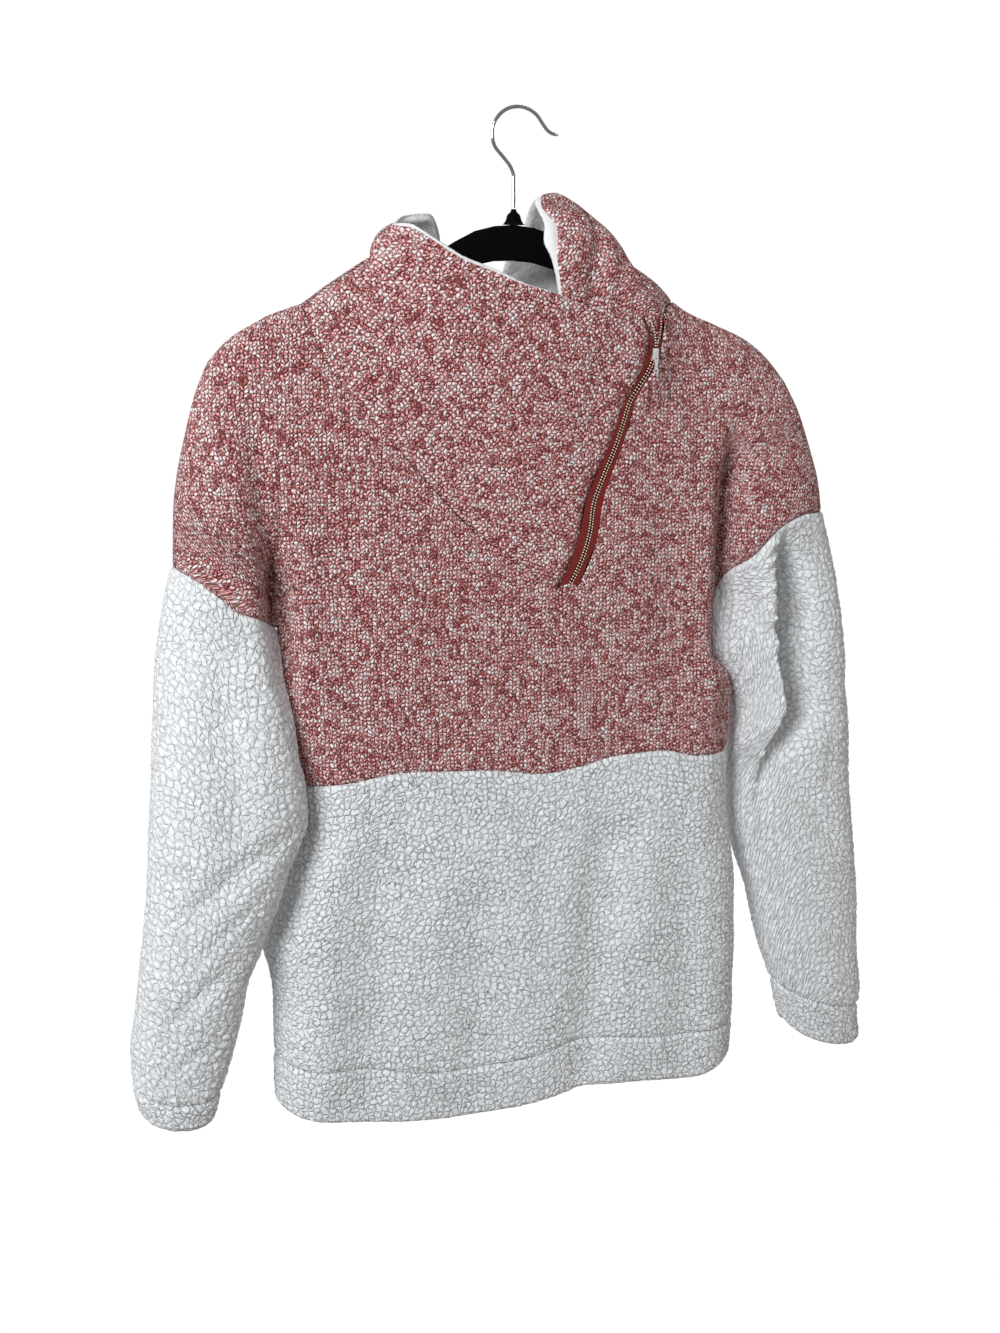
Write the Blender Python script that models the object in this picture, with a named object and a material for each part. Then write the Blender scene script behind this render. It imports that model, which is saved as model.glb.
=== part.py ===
"""Funnel-neck pullover in marled knit and sherpa fleece, hanging on a flocked hanger.

Cloth shapes are worked out in millimetres on the XZ plane (the garment faces -Y), measured from
the top of the hanger's stem line, and given their depth by smooth functions. The row's origin is
the inside top of the hanger's hook.
"""

import math

import bpy
import numpy as np

MM = 0.001
HOOK_X = 4.0            # the hook's top lies this far right of the stem
WALL = 3.0              # thickness of the knit and of the sherpa, pile pressed flat
LINING_WALL = 1.6       # thickness of the fleece that lines the collar
LINING_LIP = 2.5        # how far that fleece stands above the knit's free edge
SEAM_GAP = 0.3          # clearance between sewn pieces
TAPE_WALL = 1.2         # zip tape
ROOT = "pullover"

# Outline of the shoulders and outer arms, from the top of the arm fold outwards and down.
LEFT_INNER_SHOULDER = [(-192, -156), (-180, -151.5), (-167, -147)]
LEFT_SHOULDER = [(-192, -156), (-220, -173), (-237, -191)]
LEFT_ARM = [(-237, -191), (-247, -214), (-256, -245), (-263, -274), (-266.5, -299), (-268.5, -342)]
RIGHT_INNER_SHOULDER = [(132, -141), (145, -149), (168, -158)]
RIGHT_SHOULDER = [(168, -158), (195, -169.5), (215, -184), (232.5, -203.5)]
RIGHT_ARM = [(232.5, -203.5), (245.5, -227), (257, -259), (265, -286), (269, -311)]

# Sleeve seams, from the outer arm to the underarm.
LEFT_ARMHOLE = [(-268.5, -342), (-254, -350), (-235, -364), (-222, -375), (-207, -380), (-191, -391)]
RIGHT_ARMHOLE = [(269, -311), (245, -312), (224, -320), (210, -331), (201, -341), (186, -355),
                 (180, -366), (175, -381), (171.5, -398), (171, -429)]

# Folds that run up from the underarms: height, then the fold's place across.
LEFT_FOLD = [(-391, -191), (-345, -190), (-290, -189), (-250, -190), (-156, -192)]
RIGHT_FOLD = [(-429, 171), (-400, 168), (-365, 168), (-300, 166), (-230, 164), (-158, 168)]

# Side seams of the body below the underarms: height, then the place across.
LEFT_SIDE = [(-391, -191), (-425, -179), (-455, -173), (-511, -168), (-540, -168), (-560, -175), (-580, -185),
             (-603, -193), (-628, -203), (-648, -208.5), (-670, -204), (-695, -201), (-757, -202), (-800, -201)]
RIGHT_SIDE = [(-429, 171), (-445, 178), (-462, 190), (-485, 190), (-511, 188), (-556, 188), (-602, 195),
              (-660, 198.5), (-755, 199), (-800, 197)]

# Seams across the body: place across, then height.
WAIST_SEAM = [(-172, -516), (-137, -512), (-100, -507), (-66, -508), (-26, -510), (18, -515.5), (51, -511),
              (78, -505), (118, -503), (153, -510), (192, -511)]
BAND_SEAM = [(-205, -740), (-178, -748), (-136, -751), (-85, -760), (-55, -762), (-16, -760), (19, -756),
             (46, -749), (68, -749), (128, -754), (173, -755), (199, -752)]
HEM = [(-205, -780), (-185, -790), (-137, -797), (-97, -802), (-60, -804), (-8, -802), (40, -795), (54, -792),
       (102, -793), (152, -796), (185, -790), (199, -781)]

# The slanted seam of the funnel front, from the left shoulder to the zip's foot.
SLANT_SEAM = [(-167, -147), (-162, -164), (-154, -185), (-141, -206), (-119, -233), (-98, -257), (-73, -285),
              (-37, -322), (-7, -344), (27, -367)]
# The zip: height, then its left cloth edge, its middle line and its right cloth edge.
ZIP = [(-367, 27, 35.5, 44), (-342, 39.5, 48, 56), (-319, 46.5, 54.5, 62), (-302, 49, 56.5, 64),
       (-278, 58.5, 65, 71.5), (-260, 67, 73, 79), (-247, 72, 78, 83.5), (-233, 77, 82.5, 88),
       (-222, 81, 85.5, 90), (-210, 87.5, 91.7, 96), (-198, 94.3, 99.2, 104.2), (-190, 98.5, 103.4, 108.4),
       (-183, 100.7, 106, 111.6), (-173, 101.6, 108.5, 115.5), (-164, 100.6, 110, 119), (-157, 97, 108.5, 120),
       (-148, 93, 106, 119)]
ZIP_FOOT = -367.0
SLIDER_Z = -183.0
ZIP_TOP = -148.0

# Left edge of the funnel front, from its seam on the shoulder up to the collar's free edge.
LEFT_NECK = [(-167, -147), (-149, -134.5), (-131, -122.5), (-114.5, -112), (-114, -106), (-112, -101),
             (-108.5, -96), (-103.5, -91.5), (-97, -88)]
SHOULDER_ROWS = 3       # rows of the funnel front that are sewn to the back's shoulder
# Free edge of the funnel front: across, height and how far it stands forward.
FREE_EDGE = [(-97, -88, 0), (-88, -91, 17), (-78, -98.5, 27), (-66, -107.5, 34), (-50, -117, 39),
             (-29, -124.5, 42), (-10, -132, 43), (21, -139.5, 43), (45, -149, 42), (66, -152.5, 40),
             (84, -150.5, 36), (93, -155, 32)]

# Back of the collar. Each row is a station from the right front round to the left neck:
# the foot on the neck seam, three heights between, and the free edge.
COLLAR = [
    # foot               hump               lower              upper              free edge
    ((119, -20, -148), (107, -23.5, -143), (91, -23, -150.5), (62, -26, -157), (32, -28, -151)),
    ((132, 0, -141), (123, -3, -132.5), (97, -13, -120), (66, -18, -116), (29, -24, -113)),
    ((131, 9, -141.5), (118, 2, -128.5), (93.5, -7, -113), (67, -13, -103), (31, -18, -99)),
    ((126, 16, -142), (110, 8, -123.5), (90.5, -1, -105), (66, -8, -90), (32, -12, -87)),
    ((117, 22, -142), (101, 14, -119.5), (87, 6, -97), (62, -2, -78.5), (26, -6, -75)),
    ((106, 26, -142), (94.5, 20, -114), (81, 13, -88.5), (54, 4, -71), (23, 1, -68)),
    ((94, 29, -142), (86, 26, -111), (70, 19, -81.5), (38, 10, -59.5), (24, 5, -62)),
    ((78, 32, -143), (73, 31, -112), (62, 28, -86), (40, 22, -68), (22, 18, -67)),
    ((60, 35, -146), (56.5, 36, -122), (48.5, 36, -103), (34.5, 35.5, -91), (19, 32, -85)),
    ((41, 37, -149), (39, 40, -131), (33.5, 43.5, -116.5), (23.5, 45, -108.5), (10, 45, -105)),
    ((31, 38, -151), (29, 41, -135.5), (24.5, 44.5, -122), (17.5, 48, -116.5), (8, 50, -116)),
    ((19, 38, -152), (17.5, 41.5, -138), (14.5, 46.5, -127), (9.5, 51.5, -123.5), (4, 56, -127)),
    ((-2, 39, -153), (-2.5, 42.5, -139.5), (-4.5, 47, -130), (-7, 53, -128), (-9, 60, -137)),
    ((-25, 38, -151), (-26.5, 42.5, -137.5), (-28, 47.5, -129.5), (-29.5, 53, -128), (-31, 60, -138)),
    ((-48, 36, -146), (-48, 40.5, -131), (-48.5, 45.5, -121), (-49, 51, -119), (-49, 56, -125)),
    ((-59, 34, -142), (-58.5, 37.5, -124.5), (-57, 42, -112), (-54, 46, -108.5), (-50, 49, -111)),
    ((-70, 31, -137), (-68, 35, -117.5), (-64, 38, -103), (-58, 40.5, -98), (-51, 42, -98)),
    ((-88, 24, -127), (-85, 26.5, -108.5), (-80.5, 27.5, -94), (-73, 28, -84.5), (-62, 28, -79)),
    ((-103, 14, -118), (-101.5, 15.5, -104), (-99, 16.5, -94), (-93.5, 17, -87), (-84, 17, -82)),
    ((-114.5, 0, -112), (-113.5, 0, -104.5), (-110, 0, -97.5), (-104, 0, -92), (-97, 0, -88)),
]

# Forward depth of the front and rearward depth of the back, by height.
FRONT_DEPTH = [(-90, 34), (-250, 34), (-420, 32), (-511, 33), (-650, 36), (-760, 34), (-800, 31)]
BACK_DEPTH = [(-90, 30), (-250, 31), (-420, 30), (-511, 31), (-650, 33), (-760, 31), (-800, 29)]
TENT_SHARE = 0.25       # share of the depth that the cloth gains just below the hanger
TENT_TURN = 13.0        # length over which it turns over the hanger
TENT_LENGTH = 70.0      # length over which the rest of the depth is gained
ARM_ROUND = 48.0        # length over which the outer arm rounds away
SIDE_ROUND = 42.0       # length over which the body rounds away at its side seams
FOLD_ROUND_BODY = {"left": 26.0, "right": 13.0}
FOLD_ROUND_ARM = {"left": 26.0, "right": 34.0}
FOLD_FOOT = 20.0        # length over which a fold's floor turns under at the underarm
FOLD_FLOOR = 0.42       # share of the depth that is left on a fold's floor there
FOLD_TOP = {"left": -215.0, "right": -195.0}

# Sleeves: height, outer edge, inner edge, middle's depth (y) and half thickness.
LEFT_SLEEVE_OUT = [(-342, -268.5), (-376, -277), (-434, -285.5), (-500, -290.5), (-579, -297.5), (-611, -300.5),
                   (-651, -306), (-690, -311.5), (-716, -315.5), (-739, -315.5), (-762, -311)]
LEFT_SLEEVE_IN = [(-391, -191), (-404, -188.6), (-431, -184.5), (-453, -180.5), (-491, -178), (-512, -174.5),
                  (-537, -174.5), (-557, -180.5), (-578, -190.5), (-603, -199), (-628, -209), (-646, -215),
                  (-665, -224), (-700, -232), (-732, -240.5), (-750, -246.5), (-772, -252)]
RIGHT_SLEEVE_OUT = [(-311, 269), (-343, 278), (-368, 285), (-409, 292.5), (-451, 298), (-494, 304),
                    (-550, 308.5), (-610, 316), (-652, 320.5), (-710, 323.5), (-746, 327.5), (-757, 325.5),
                    (-785, 329)]
RIGHT_SLEEVE_IN = [(-429, 171), (-441, 181), (-456, 193), (-483, 199), (-510, 198), (-556, 198), (-580, 200),
                   (-602, 205), (-642, 219), (-694, 232), (-728, 244), (-751, 250), (-772, 256)]
SLEEVE_MIDDLE = {
    "left": [(-330, 0), (-390, 0), (-440, -10), (-500, -22), (-600, -26), (-790, -20)],
    "right": [(-300, 0), (-430, 0), (-470, 6), (-560, 8), (-790, 4)],
}
SLEEVE_DEPTH = [(-310, 27), (-430, 30), (-520, 34), (-640, 31), (-735, 26), (-790, 23)]
SLEEVE_FLAT = 0.75      # below 1 flattens the sleeve's front and back
SLEEVE_FADE = 0.35      # share of the sleeve over which the armhole's shape fades out
CUFF_TOP = {"left": (-741, -752), "right": (-755, -729)}
CUFF_END = {"left": (-764, -774), "right": (-787, -768)}
CUFF_SAG = {"left": (10, 9), "right": (7, 10)}

# Soft folds pressed into the body: ends of the fold, its depth (+ is a trough) and half width.
BODY_FOLDS = [
    # x0, z0, x1, z1, depth, width
    (-118, -560, -128, -790, 5.0, 22.0),
    (-30, -600, -42, -800, 3.5, 24.0),
    (72, -560, 52, -800, 6.0, 20.0),
    (140, -600, 150, -790, 3.5, 20.0),
    (-150, -300, -140, -480, 3.0, 20.0),
    (120, -260, 128, -450, 3.0, 18.0),
    (122, -110, 98, -212, -17.0, 22.0),
]
BACK_FOLDS = [
    (-90, -250, -110, -480, 4.0, 26.0),
    (85, -230, 105, -500, 4.5, 26.0),
    (5, -420, -12, -790, 5.0, 30.0),
    (-125, -560, -120, -790, 5.0, 24.0),
    (120, -580, 128, -790, 4.5, 22.0),
]
# Folds along the sleeves' fronts: place across (0 outer, 1 inner) at both ends, heights, depth, half width.
SLEEVE_FOLDS = {
    "left": [(0.45, 0.55, -420, -560, 3.5, 0.13), (0.9, 0.35, -540, -600, 4.5, 0.14),
             (0.75, 0.3, -640, -690, 3.0, 0.12)],
    "right": [(0.46, 0.56, -350, -520, 9.0, 0.10), (0.25, 0.62, -600, -530, 5.0, 0.12),
              (0.2, 0.8, -690, -640, 3.5, 0.12)],
}

# Net: shares of the way from the shoulder to the underarm, then to the waist and below.
UPPER_ROWS = [0, 0.025, 0.08, 0.17, 0.29, 0.43, 0.57, 0.71, 0.86, 1]
SIDE_ROWS = 4
LOWER_ROWS = 7
BAND_ROWS = 2
SHOULDER_COLUMNS = 2
SLANT_COLUMNS = 9
ZIP_COLUMNS = 6
RIGHT_COLUMNS = 3
BACK_SHOULDER = [(-192, -156), (-180, -151.5), (-167, -147), (-149, -134.5), (-131, -122.5), (-114.5, -112)]
ARM_COLUMNS = 6
SLEEVE_ROWS = 13
CUFF_ROWS = 2
COLLAR_SHARES = [0, 0.14, 0.32, 0.5, 0.67, 0.84, 1]
FUNNEL_ROWS = SHOULDER_ROWS + len(COLLAR_SHARES) - 1

# Hanger: across, height of the top edge and height of the lower edge, of one half.
HANGER = [(0, -86, -112.6), (14, -87.2, -113.4), (28, -90.6, -116.5), (40, -96, -120.5), (51, -103, -126),
          (80, -121, -139), (114, -138, -153.5), (141, -149.6, -163.5), (168, -161, -174), (196, -173.2, -185),
          (212, -184, -193.5), (219, -190, -197)]
HANGER_TILT = math.radians(1.1)
TILT_HEIGHT = -100.0    # height about which the hanger hangs askew
HANGER_THICK = 5.4
HANGER_EDGE = 1.3       # width of its rounded edges
HANGER_TIP = (2.2, 9.0)  # how far the rounding of its ends starts beyond them, and its length
TIP_TALL = 0.45         # shares of its height and thickness that are left at its ends
TIP_THICK = 0.6
HANGER_HALVES = 14      # steps along each half
# Boss round the wire: half width and height. Its depth is narrower by BOSS_FLAT beyond the top's half width.
BOSS_PROFILE = [(8.8, -85.6), (7.6, -84.6), (6.3, -82.4), (5.7, -80.2), (4.9, -78.2), (3, -76.7), (2.1, -75.4),
                (1.9, -74)]
BOSS_FLAT = 0.4
BOSS_SIDES = 20
WIRE_RADIUS = 1.4
WIRE_SIDES = 10
WIRE_STEPS = 44
WIRE_FOOT = -73.7
HOOK_RADIUS = 21.0
HOOK_MIDDLE = (HOOK_X, WIRE_RADIUS - HOOK_RADIUS)
HOOK_TURN = (203.0, 29.0, 13)    # first and last angle of the bend, and its number of points
HOOK_STEM = [(0, WIRE_FOOT), (0, -66), (0, -57), (0, -50), (-2.5, -43), (-8.3, -36)]
HOOK_FOOT = [(25.6, -13.6), (28.4, -16.2), (32, -17.5), (35.5, -18.1)]

# Zip: widths across the chain, and the slider and its pull. The pull hangs from a bar on the slider.
COIL_WIDTH = 2.4
COIL_THICK = 1.9
TAPE_SPACE = 3.6        # clear way between the tapes for the chain
OPEN_TAPE = 5.0         # tape that shows beside each cloth edge above the slider
TAPE_SINK = 0.5         # how far the tapes lie below the cloth's face
TURN_CLEAR = 1.6        # extra clearance beside the tapes where the cloth turns up into the collar
ZIP_ROWS = 18
OPEN_ROWS = 4
SLIDER = {"x": 105.5, "z": -183.5, "face": -35.6, "width": 4.8, "length": 9.0, "plate": 1.1, "back": -29.4}
POST = {"across": 1.0, "low": 2.2, "high": 4.4, "width": 1.6}
BRIDGE = {"low": -3.2, "high": 2.8, "post": 1.0, "width": 1.2, "clear": 2.0, "bar": 0.8}
PULL = {"thick": 0.9, "hinge_up": 0.9, "hinge_out": 1.0, "slot_half": 1.0, "slot_top": -0.45, "slot_end": -5.2,
        "hole_half": 0.9, "hole_top": -13.0, "hole_end": -14.8, "reach": 1.0}
# Outline of the pull: height above its hinge, half width.
PULL_OUTLINE = [(-16, 1.1), (-15.2, 1.8), (-12.6, 1.8), (-11.4, 1.1), (-7, 1.1), (-5.6, 1.9), (0.1, 1.9),
                (0.45, 1.5)]


def hermite(at, xs, ys):
    """Cubic through the points (xs, ys) whose slopes are limited, so it never overshoots."""
    xs = np.asarray(xs, float)
    ys = np.asarray(ys, float)
    if xs[0] > xs[-1]:
        xs, ys = xs[::-1], ys[::-1]
    at = np.clip(np.asarray(at, float), xs[0], xs[-1])
    step = np.diff(xs)
    rise = np.diff(ys) / step
    slope = np.zeros_like(ys)
    slope[0], slope[-1] = rise[0], rise[-1]
    same = rise[:-1] * rise[1:] > 0
    mean = 2 * rise[:-1] * rise[1:] / np.where(same, rise[:-1] + rise[1:], 1)
    slope[1:-1] = np.where(same, mean, 0)
    k = np.clip(np.searchsorted(xs, at) - 1, 0, len(step) - 1)
    t = (at - xs[k]) / step[k]
    return (ys[k] * (1 + 2 * t) * (1 - t) ** 2 + ys[k + 1] * t * t * (3 - 2 * t)
            + step[k] * (slope[k] * t * (1 - t) ** 2 + slope[k + 1] * t * t * (t - 1)))


def read(table, at, column=1):
    """A table's column at the given values of its first column."""
    rows = np.asarray(table, float)
    return hermite(at, rows[:, 0], rows[:, column])


def spaced(points, shares):
    """Points at the given shares of a polyline's length, on a smooth curve through its corners."""
    points = np.asarray(points, float)
    length = np.concatenate([[0], np.cumsum(np.linalg.norm(np.diff(points, axis=0), axis=1))])
    at = np.asarray(shares, float) * length[-1]
    return np.stack([hermite(at, length, points[:, k]) for k in range(points.shape[1])], -1)


def even(count):
    """Shares from 0 to 1 in equal steps."""
    return np.linspace(0, 1, count + 1)


def turning(q):
    """Quarter ellipse: rises steeply from 0 and is flat at 1."""
    q = np.clip(q, 0, 1)
    return np.sqrt(1 - (1 - q) ** 2)


def eased(q):
    """Smooth step from 0 to 1."""
    q = np.clip(q, 0, 1)
    return q * q * (3 - 2 * q)


def coons(top, bottom, left, right):
    """Surface patch between four edges; rows run from top to bottom."""
    u = even(len(top) - 1)[None, :, None]
    v = even(len(left) - 1)[:, None, None]
    ruled_rows = (1 - v) * top[None] + v * bottom[None]
    ruled_columns = (1 - u) * left[:, None] + u * right[:, None]
    corners = ((1 - v) * ((1 - u) * top[0] + u * top[-1]) + v * ((1 - u) * bottom[0] + u * bottom[-1]))
    return ruled_rows + ruled_columns - corners


def distance(x, z, outline):
    """Distance from points to an open polyline."""
    outline = np.asarray(outline, float)
    best = np.full(np.shape(x), 1e9)
    for (x0, z0), (x1, z1) in zip(outline[:-1], outline[1:]):
        dx, dz = x1 - x0, z1 - z0
        t = np.clip(((x - x0) * dx + (z - z0) * dz) / (dx * dx + dz * dz), 0, 1)
        best = np.minimum(best, np.hypot(x - x0 - t * dx, z - z0 - t * dz))
    return best


def fold_relief(x, z, folds):
    """Sum of soft troughs: each is deepest along its middle and fades out at its ends."""
    total = np.zeros(np.shape(x))
    for x0, z0, x1, z1, depth, width in folds:
        along = np.clip((z - z0) / (z1 - z0), 0, 1)
        middle = x0 + (x1 - x0) * along
        ends = eased((z0 + 30 - z) / 60) * eased((z - z1 + 30) / 60)
        total += depth * ends * np.exp(-((x - middle) / width) ** 2)
    return total


def outline(*stretches):
    """Fine polyline along several smooth stretches, one after the other."""
    start = [np.asarray(stretches[0][0], float)[None]]
    return np.concatenate(start + [spaced(points, even(24))[1:] for points in stretches])


LEFT_OUTLINE = outline(LEFT_NECK[::-1], LEFT_INNER_SHOULDER[::-1], LEFT_SHOULDER, LEFT_ARM)
RIGHT_OUTLINE = outline(RIGHT_INNER_SHOULDER, RIGHT_SHOULDER, RIGHT_ARM)


def fold_share(x, z, hand):
    """Share of the depth that is left near an underarm fold or side seam."""
    fold = LEFT_FOLD if hand == "left" else RIGHT_FOLD
    side = LEFT_SIDE if hand == "left" else RIGHT_SIDE
    foot = fold[0][0]
    place = np.where(z > foot, read(fold, z), read(side, z))
    above = np.clip(z - foot, 0, None)
    climb = eased(above / (FOLD_TOP[hand] - foot))
    kept = turning(above / FOLD_FOOT) * (FOLD_FLOOR + (1 - FOLD_FLOOR) * climb)
    body_side = x > place if hand == "left" else x < place
    below = eased((foot - z) / 60)
    body_round = FOLD_ROUND_BODY[hand] * (1 - below) + SIDE_ROUND * below
    across = np.abs(x - place) / np.where(body_side, body_round, FOLD_ROUND_ARM[hand])
    return 1 - (1 - kept) * (1 - turning(across))


def depth(x, z, face):
    """Distance of the front or back cloth from the garment's middle plane."""
    full = read(FRONT_DEPTH if face == "front" else BACK_DEPTH, z)
    edge = np.minimum(distance(x, z, LEFT_OUTLINE), distance(x, z, RIGHT_OUTLINE))
    tent = TENT_SHARE * turning(edge / TENT_TURN) + (1 - TENT_SHARE) * (1 - np.exp(-edge / TENT_LENGTH))
    rounded = turning(edge / ARM_ROUND)
    blend = eased((-185 - z) / 110) * eased((np.abs(x) - 150) / 70)
    shaped = full * (tent * (1 - blend) + rounded * blend)
    shaped = shaped * fold_share(x, z, "left") * fold_share(x, z, "right")
    relief = fold_relief(x, z, BODY_FOLDS if face == "front" else BACK_FOLDS)
    return shaped - relief * np.clip(shaped / 25, 0, 1) ** 2


def lifted(grid, face):
    """Adds the depth to points (x, z): the front goes towards -Y, the back towards +Y."""
    x, z = grid[..., 0], grid[..., 1]
    sign = -1 if face == "front" else 1
    return np.stack([x, sign * depth(x, z, face), z], -1)


def lifted_body(grid, face, underarm):
    """Body cloth: its side seams below the underarm row, and its shoulder seams, lie on the middle plane."""
    made = lifted(grid, face)
    made[underarm:, [0, -1], 1] = 0
    if underarm:
        made[0, :SHOULDER_COLUMNS + 1, 1] = 0
        made[0, -RIGHT_COLUMNS - 1:, 1] = 0
    return made


def lifted_arm(grid, valley, face):
    """Cap of an arm: its shoulder and outer edge lie on the middle plane, its fold joins the body's."""
    made = lifted(grid, face)
    made[0, :, 1] = 0
    made[:, 0, 1] = 0
    made[:, -1] = valley
    return made


def row_shares(hand):
    """Shares of the way from the shoulder to the waist seam, for the left or right end of a row."""
    top = -156.0 if hand == "left" else -158.0
    foot = LEFT_FOLD[0][0] if hand == "left" else RIGHT_FOLD[0][0]
    waist = WAIST_SEAM[0][1] + 2 if hand == "left" else WAIST_SEAM[-1][1]
    underarm = (top - foot) / (top - waist)
    upper = np.array(UPPER_ROWS) * underarm
    lower = underarm + (1 - underarm) * even(SIDE_ROWS)[1:]
    return np.concatenate([upper, lower])


def waist_columns(count):
    """Places of the columns at the waist, closer together at the sides."""
    left, right = read(LEFT_SIDE, -512.0), read(RIGHT_SIDE, -511.0)
    spread = (1 + np.sin(math.pi / 2 * (2 * even(count) - 1))) / 2
    spread = 0.75 * spread + 0.25 * even(count)
    return left + (right - left) * spread


def middle_grid(top):
    """Body between the underarm folds, from the top edge given down to the waist seam."""
    count = len(top) - 1
    across = even(count)
    foot_x = waist_columns(count)
    foot_z = read(WAIST_SEAM, foot_x)
    left, right = row_shares("left"), row_shares("right")
    share = left[:, None] * (1 - across) + right[:, None] * across
    z = top[:, 1] + (foot_z - top[:, 1]) * share
    x = top[:, 0] + (foot_x - top[:, 0]) * share
    for hand, near in (("left", (1 - across) ** 3), ("right", across ** 3)):
        column = 0 if hand == "left" else -1
        fold = LEFT_FOLD if hand == "left" else RIGHT_FOLD
        side = LEFT_SIDE if hand == "left" else RIGHT_SIDE
        edge_z = z[:, column]
        edge = np.where(edge_z > fold[0][0], read(fold, edge_z), read(side, edge_z))
        x = x + (edge - x[:, column])[:, None] * near
    return np.stack([x, z], -1)


def lower_grid(waist):
    """Body below the waist seam, down to the hem: rows of the skirt, then rows of the hem band."""
    count = len(waist) - 1
    across = even(count)
    start = (waist[:, 0] - waist[0, 0]) / (waist[-1, 0] - waist[0, 0])
    rows = []
    for n in range(1, LOWER_ROWS + BAND_ROWS + 1):
        skirt = min(n / LOWER_ROWS, 1.0)
        band = max(n - LOWER_ROWS, 0) / BAND_ROWS
        guess = waist[:, 1] * (1 - skirt) - 755.0 * skirt
        for _ in range(3):
            left, right = read(LEFT_SIDE, guess[0]), read(RIGHT_SIDE, guess[-1])
            x = left + (right - left) * start
            seam = read(BAND_SEAM, x)
            guess = waist[:, 1] + (seam - waist[:, 1]) * skirt + (read(HEM, x) - seam) * band
        rows.append(np.stack([x, guess], -1))
    return np.array(rows)


def arm_patch(hand, valley):
    """Cap of the arm between the shoulder line, the outer arm, the sleeve seam and the underarm fold."""
    shoulder = LEFT_SHOULDER if hand == "left" else RIGHT_SHOULDER
    arm = LEFT_ARM if hand == "left" else RIGHT_ARM
    armhole = LEFT_ARMHOLE if hand == "left" else RIGHT_ARMHOLE
    closer = (1 - np.cos(math.pi * even(ARM_COLUMNS))) / 2
    closer = 0.6 * closer + 0.4 * even(ARM_COLUMNS)
    top = spaced(shoulder[::-1], closer)
    bottom = spaced(armhole, closer)
    outer = spaced(arm, UPPER_ROWS)
    return coons(top, bottom, outer, valley)


def sleeve_grid(hand, front_seam, back_seam):
    """Sleeve and cuff as rings below the sleeve seam; columns run over the front, then the back."""
    out = LEFT_SLEEVE_OUT if hand == "left" else RIGHT_SLEEVE_OUT
    inner = LEFT_SLEEVE_IN if hand == "left" else RIGHT_SLEEVE_IN
    ring = np.concatenate([front_seam, back_seam[::-1][1:-1]])
    count = ARM_COLUMNS
    turn = math.pi * np.concatenate([even(count), (1 - even(count))[1:-1]])
    front = np.concatenate([np.ones(count + 1), -np.ones(count - 1)])
    front[[0, count]] = 0
    across = (1 - np.cos(turn)) / 2
    swell = np.sin(turn) ** SLEEVE_FLAT
    start_out, start_in = ring[0, 2], ring[count, 2]
    rows = []
    for n in range(SLEEVE_ROWS + CUFF_ROWS + 1):
        w = min(n / SLEEVE_ROWS, 1.0)
        cuff = max(n - SLEEVE_ROWS, 0) / CUFF_ROWS
        z_out = start_out + (CUFF_TOP[hand][0] - start_out) * w
        z_in = start_in + (CUFF_TOP[hand][1] - start_in) * w
        z_out += (CUFF_END[hand][0] - CUFF_TOP[hand][0]) * cuff
        z_in += (CUFF_END[hand][1] - CUFF_TOP[hand][1]) * cuff
        sag = CUFF_SAG[hand][0] * w ** 3 + (CUFF_SAG[hand][1] - CUFF_SAG[hand][0]) * cuff
        z = z_out + (z_in - z_out) * across - sag * np.sin(turn)
        x_out, x_in = read(out, z_out), read(inner, z_in)
        x = x_out + (x_in - x_out) * across
        thick = read(SLEEVE_DEPTH, z) * swell
        for c0, c1, z0, z1, amount, width in SLEEVE_FOLDS[hand]:
            share = np.clip((z - z0) / (z1 - z0), 0, 1)
            ends = eased((max(z0, z1) + 25 - z) / 50) * eased((z - min(z0, z1) + 25) / 50)
            dent = amount * ends * np.exp(-((across - c0 - (c1 - c0) * share) / width) ** 2)
            thick = thick - dent * (front > 0) * np.sin(turn)
        y = read(SLEEVE_MIDDLE[hand], z) - front * thick
        here = np.stack([x, y, z], -1)
        if n == 0:
            change = ring - here
        fade = max(0.0, 1 - w / SLEEVE_FADE) ** 2
        rows.append(here + change * fade)
    return np.array(rows)


def zip_edge(z, column):
    """Place across of the zip's left edge (1), middle (2) or right edge (3) at a height."""
    return read(ZIP, z, column)


def zip_heights(foot, top, count):
    """Heights up the zip in equal steps."""
    return foot + (top - foot) * even(count)


def front_top():
    """Top edge of the front body: shoulder, slanted seam, zip foot, zip edge, neck and shoulder."""
    shoulder = spaced(LEFT_INNER_SHOULDER, even(SHOULDER_COLUMNS))
    slant = spaced(SLANT_SEAM, even(SLANT_COLUMNS))[1:]
    heights = zip_heights(-365.0, ZIP_TOP, ZIP_COLUMNS)
    edge = np.stack([zip_edge(heights, 3), heights], -1)
    right = spaced(RIGHT_INNER_SHOULDER, even(RIGHT_COLUMNS))
    return np.concatenate([shoulder, slant, edge, right])


def left_neck():
    """Left edge of the funnel front: the rows sewn to the shoulder, then those sewn to the collar's back."""
    upper = spaced(LEFT_NECK[SHOULDER_ROWS:], COLLAR_SHARES)
    return np.concatenate([np.array(LEFT_NECK[:SHOULDER_ROWS], float), upper])


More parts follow.
